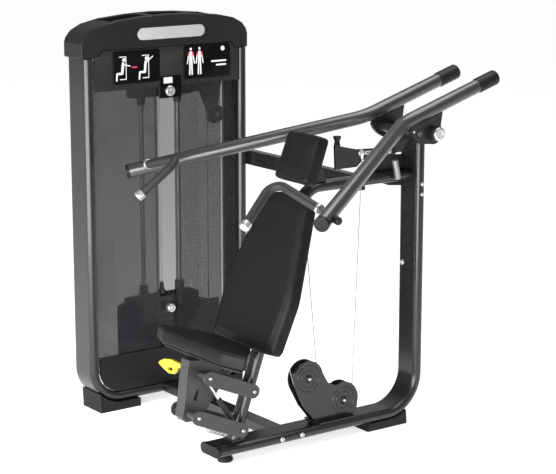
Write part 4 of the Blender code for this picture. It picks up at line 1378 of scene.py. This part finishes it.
# ---- press arms -------------------------------------------------------------
@dataclass
class PressArms:
    """Both arms with their grips, brackets, shaft, cross bar and lever."""

    shop: Workshop
    pivot: Array = spot(0, 0.655, 1.175)
    tip: Array = spot(0.622, -0.270, 1.015)
    bend: Array = spot(0.115, 0.506, 1.224)
    tail: Array = spot(0.115, 0.878, 1.3385)
    radius: float = 0.027
    body: str = "press_arms"

    def build(self) -> None:
        """Make every piece that swings with the arms."""
        for side, flip in (("left", False), ("right", True)):
            for name, shape, finish, node in self.arm():
                made = shape.mirrored() if flip else shape
                nodes = [f"{node}_{side}"] if node else []
                self.shop.add(f"{name}_{side}", made, finish, self.body, nodes)
            self.shop.rework(f"arm_bracket_{side}", BLACK_STEEL, 0.002)
        self.shaft()
        self.lever()

    def arm(self) -> list[tuple[str, Shape, Finish, str]]:
        """The pieces of the left arm.

        Returns:
            Rows of (name, shape, finish, node stood for).
        """
        side = unit(np.cross(self.tip - self.bend, self.tail - self.bend))
        path = bend_path([self.tip, self.bend, self.tail], 0.16, 28)
        tube = sweep(path, round_section(48), self.radius, side)
        way_in, way_out = unit(self.bend - self.tip), unit(self.tail - self.bend)
        cap = turned(self.tip + way_in * 0.0005, -way_in,
                     [(-0.010, 0.0276), (0.002, 0.0278), (0.005, 0.0262), (0.006, 0.020)], 0.0015)
        sleeve = turned(self.tail + way_out * 0.0003, way_out,
                        [(0, 0.0285), (0.003, 0.0300), (0.094, 0.0300), (0.099, 0.0275),
                         (0.100, 0.022)], 0.002, 48)
        corner = vec(0.296, -0.232, 1.112)
        root, free = vec(0.543, -0.2218, 1.0505), vec(0.341, -0.378, 0.985)
        grip_side = unit(np.cross(root - corner, free - corner))
        grip = sweep(bend_path([root, corner, free], 0.045, 24), round_section(36), 0.0165,
                     grip_side, 0.003)
        way = unit(free - corner)
        end = [(0, 0.0165), (0.001, 0.0190), (0.024, 0.0190), (0.0265, 0.0165), (0.0265, 0.011),
               (0.024, 0.009)]
        silver = turned(free - way * 0.002, way, end, 0.001)
        inward = unit(root - corner)
        collar = turned(root - inward * 0.002, inward,
                        [(0, 0.0165), (0.001, 0.0190), (0.011, 0.0190), (0.012, 0.0165)], 0.001)
        neck = turned(root + inward * 0.0102, inward,
                      [(0, 0.0125), (0.024, 0.0125), (0.034, 0.0135), (0.044, 0.0135)], 0.002)
        stub_at = vec(0.610, -0.2100, 1.0280)
        stub = turned(stub_at, inward,
                      [(0, 0.012), (0.010, 0.0145), (0.030, 0.0145), (0.034, 0.012)], 0.002)
        return [("arm_tube_skin", tube, ARM_PAINT, "arm_tube"),
                ("arm_tip_cap", cap, CAP_PLASTIC, ""),
                ("end_sleeve", sleeve, CAP_PLASTIC, "arm_sleeve"),
                ("grip", grip, FOAM, "handle_grip"),
                ("grip_end_cap", silver, SILVER, ""),
                ("grip_collar", collar, SILVER, ""),
                ("grip_neck", neck, LINK_PAINT, ""),
                ("grip_stub", stub, CAP_PLASTIC, "")]

    def shaft(self) -> None:
        """Pivot shaft, its bosses and bright end caps, and the cross bar."""
        bar = turned(self.pivot, X_AXIS, [(-0.1223, 0.015), (0.1223, 0.015)], 0.001)
        boss = [(0, 0.029), (0.0235, 0.029), (0.0235, 0.018), (0.029, 0.018)]
        bosses = [turned(self.pivot + vec(s * 0.1223, 0, 0), vec(s, 0, 0), boss, 0.0012, 48)
                  for s in (-1, 1)]
        self.shop.add("shaft_bosses", Shape.join([bar] + bosses), BLACK_STEEL, self.body,
                      ["pivot_shaft"])
        cap = [(0, 0.0265), (0.009, 0.0265), (0.0125, 0.022), (0.013, 0.014), (0.011, 0.012)]
        caps = [turned(self.pivot + vec(s * 0.150, 0, 0), vec(s, 0, 0), cap, 0.0015, 48)
                for s in (-1, 1)]
        self.shop.add("shaft_end_caps", Shape.join(caps), SILVER, self.body)
        cross = turned(vec(-0.127, 0.585, 1.178), X_AXIS,
                       [(0, 0.010), (0.002, 0.012), (0.0193, 0.012), (0.0193, 0.018),
                        (0.2347, 0.018), (0.2347, 0.012), (0.252, 0.012), (0.254, 0.010)])
        self.shop.add("cross_bar", cross, ARM_PAINT, self.body, ["arm_cross_bar"])

    def lever(self) -> None:
        """Lever to the cable, with its buffer and cable fitting."""
        self.shop.rework("arm_lever", BLACK_STEEL, 0.0015)
        buffer = turned(vec(0.038, 0.2495, 1.1585), Z_AXIS,
                        [(0, 0.0115), (0.006, 0.0115), (0.012, 0.0095), (0.020, 0.0125),
                         (0.030, 0.0165), (0.032, 0.0145)], 0.002)
        self.shop.add("lever_buffer", buffer, RUBBER, self.body)
        pin = turned(vec(0.0442, 0.3605, 1.117), X_AXIS,
                     [(0, 0.013), (0.004, 0.013), (0.005, 0.0095), (0.012, 0.0095),
                      (0.013, 0.0075)])
        nut = turned(vec(0.050, 0.3605, 1.0925), Z_AXIS,
                     [(0, 0.0035), (0.002, 0.0055), (0.020, 0.0065), (0.022, 0.005)])
        self.shop.add("cable_fitting", Shape.join([pin, nut]), SILVER, self.body)
        stay = turned(vec(0.053, 0.371, 1.1165), unit(vec(0, 1, -0.045)),
                      [(0, 0.006), (0.002, 0.0085), (0.083, 0.0085), (0.085, 0.006)], 0.001)
        self.shop.add("lever_stay", stay, DULL_STEEL, self.body)
        hook = plate(rectangle(0.476, 0.522, 1.094, 1.122, 0.007), "X", 0.0441, 0.057, 0.003)
        self.shop.add("stay_lug", hook, RUBBER, self.body)
        dots = [button_head(vec(0.057, 0.489, 1.110), X_AXIS, 0.0085)]
        dots += [button_head(vec(s * 0.122, 0.5560, 1.1880), vec(s, 0, 0), 0.0055)
                 for s in (-1, 1)]
        self.shop.add("lever_screws", Shape.join(dots), SILVER, self.body)


# ---- studio -----------------------------------------------------------------
@dataclass
class Studio:
    """Pale floor, soft lights and the camera."""

    shift: Array
    eye: Array = spot(5.4135, -3.9411, 2.2842)
    azimuth: float = 53.927
    elevation: float = 12.267
    lens: float = 118.785
    sensor: float = 36.0
    sky: float = 0.38
    floor_glow: float = 0.62
    floor_reach: float = 30.0
    centre: Array = spot(-0.2, 0.5, 0.8)

    def build(self) -> None:
        """Set up floor, world, lights and camera."""
        self.camera()
        self.floor()
        world = bpy.data.worlds.new("pale_studio")
        bpy.context.scene.world = world
        world.use_nodes = True
        background = world.node_tree.nodes["Background"]
        background.inputs["Color"].default_value = (1, 1, 1, 1)
        background.inputs["Strength"].default_value = self.sky
        bpy.context.scene.view_settings.view_transform = "Standard"
        self.lamp("front_box", vec(1.3, -4.3, 0.2), 7.2, 2.4, 470)
        self.lamp("top_box", vec(0.2, 0.6, 3.4), 3.0, 3.0, 110)

    def lamp(self, name: str, offset: Array, wide: float, high: float, power: float) -> None:
        """One soft box aimed at the machine's middle.

        Args:
            name: its name. offset: its place from the middle. wide, high: its size.
            power: in watts.
        """
        data = bpy.data.lights.new(name, "AREA")
        data.shape, data.size, data.size_y, data.energy = "RECTANGLE", wide, high, power
        lamp = bpy.data.objects.new(name, data)
        lamp.location = self.centre + offset
        lamp.rotation_euler = Vector(-offset).to_track_quat("-Z", "Y").to_euler()
        bpy.context.scene.collection.objects.link(lamp)

    def floor(self) -> None:
        """Plain pale floor that reaches past the view on every side."""
        reach = self.floor_reach
        mesh = bpy.data.meshes.new("floor")
        mesh.from_pydata([(-reach, -reach, 0), (reach, -reach, 0), (reach, reach, 0),
                          (-reach, reach, 0)], [], [(0, 1, 2, 3)])
        graph = Graph("floor_paper")
        graph.dress({"Base Color": (0.93, 0.93, 0.93, 1), "Roughness": 0.9,
                     "Emission Color": (1, 1, 1, 1), "Emission Strength": self.floor_glow})
        mesh.materials.append(graph.material)
        floor = bpy.data.objects.new("floor", mesh)
        bpy.context.scene.collection.objects.link(floor)

    def camera(self) -> None:
        """Camera at the machine's front right, a little above the seat."""
        data = bpy.data.cameras.new("camera")
        data.lens, data.sensor_width = self.lens, self.sensor
        data.clip_end = 100.0
        camera = bpy.data.objects.new("camera", data)
        camera.location = self.eye + self.shift
        camera.rotation_euler = (math.radians(90 - self.elevation), 0, math.radians(self.azimuth))
        bpy.context.scene.collection.objects.link(camera)
        bpy.context.scene.camera = camera


def main() -> None:
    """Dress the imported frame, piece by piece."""
    logging.basicConfig(level=logging.INFO, format="%(message)s")
    for old in list(bpy.data.objects):
        bpy.data.objects.remove(old, do_unlink=True)
    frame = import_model()
    shop = Workshop(frame)
    Studio(shop.shift).build()
    Tower(shop).build()
    Stack(shop).build()
    BaseFrame(shop).build()
    build_pads(shop)
    SeatLinkage(shop).build()
    CableRun(shop).build()
    PressArms(shop).build()
    bpy.context.view_layer.update()


if __name__ == "__main__":
    main()
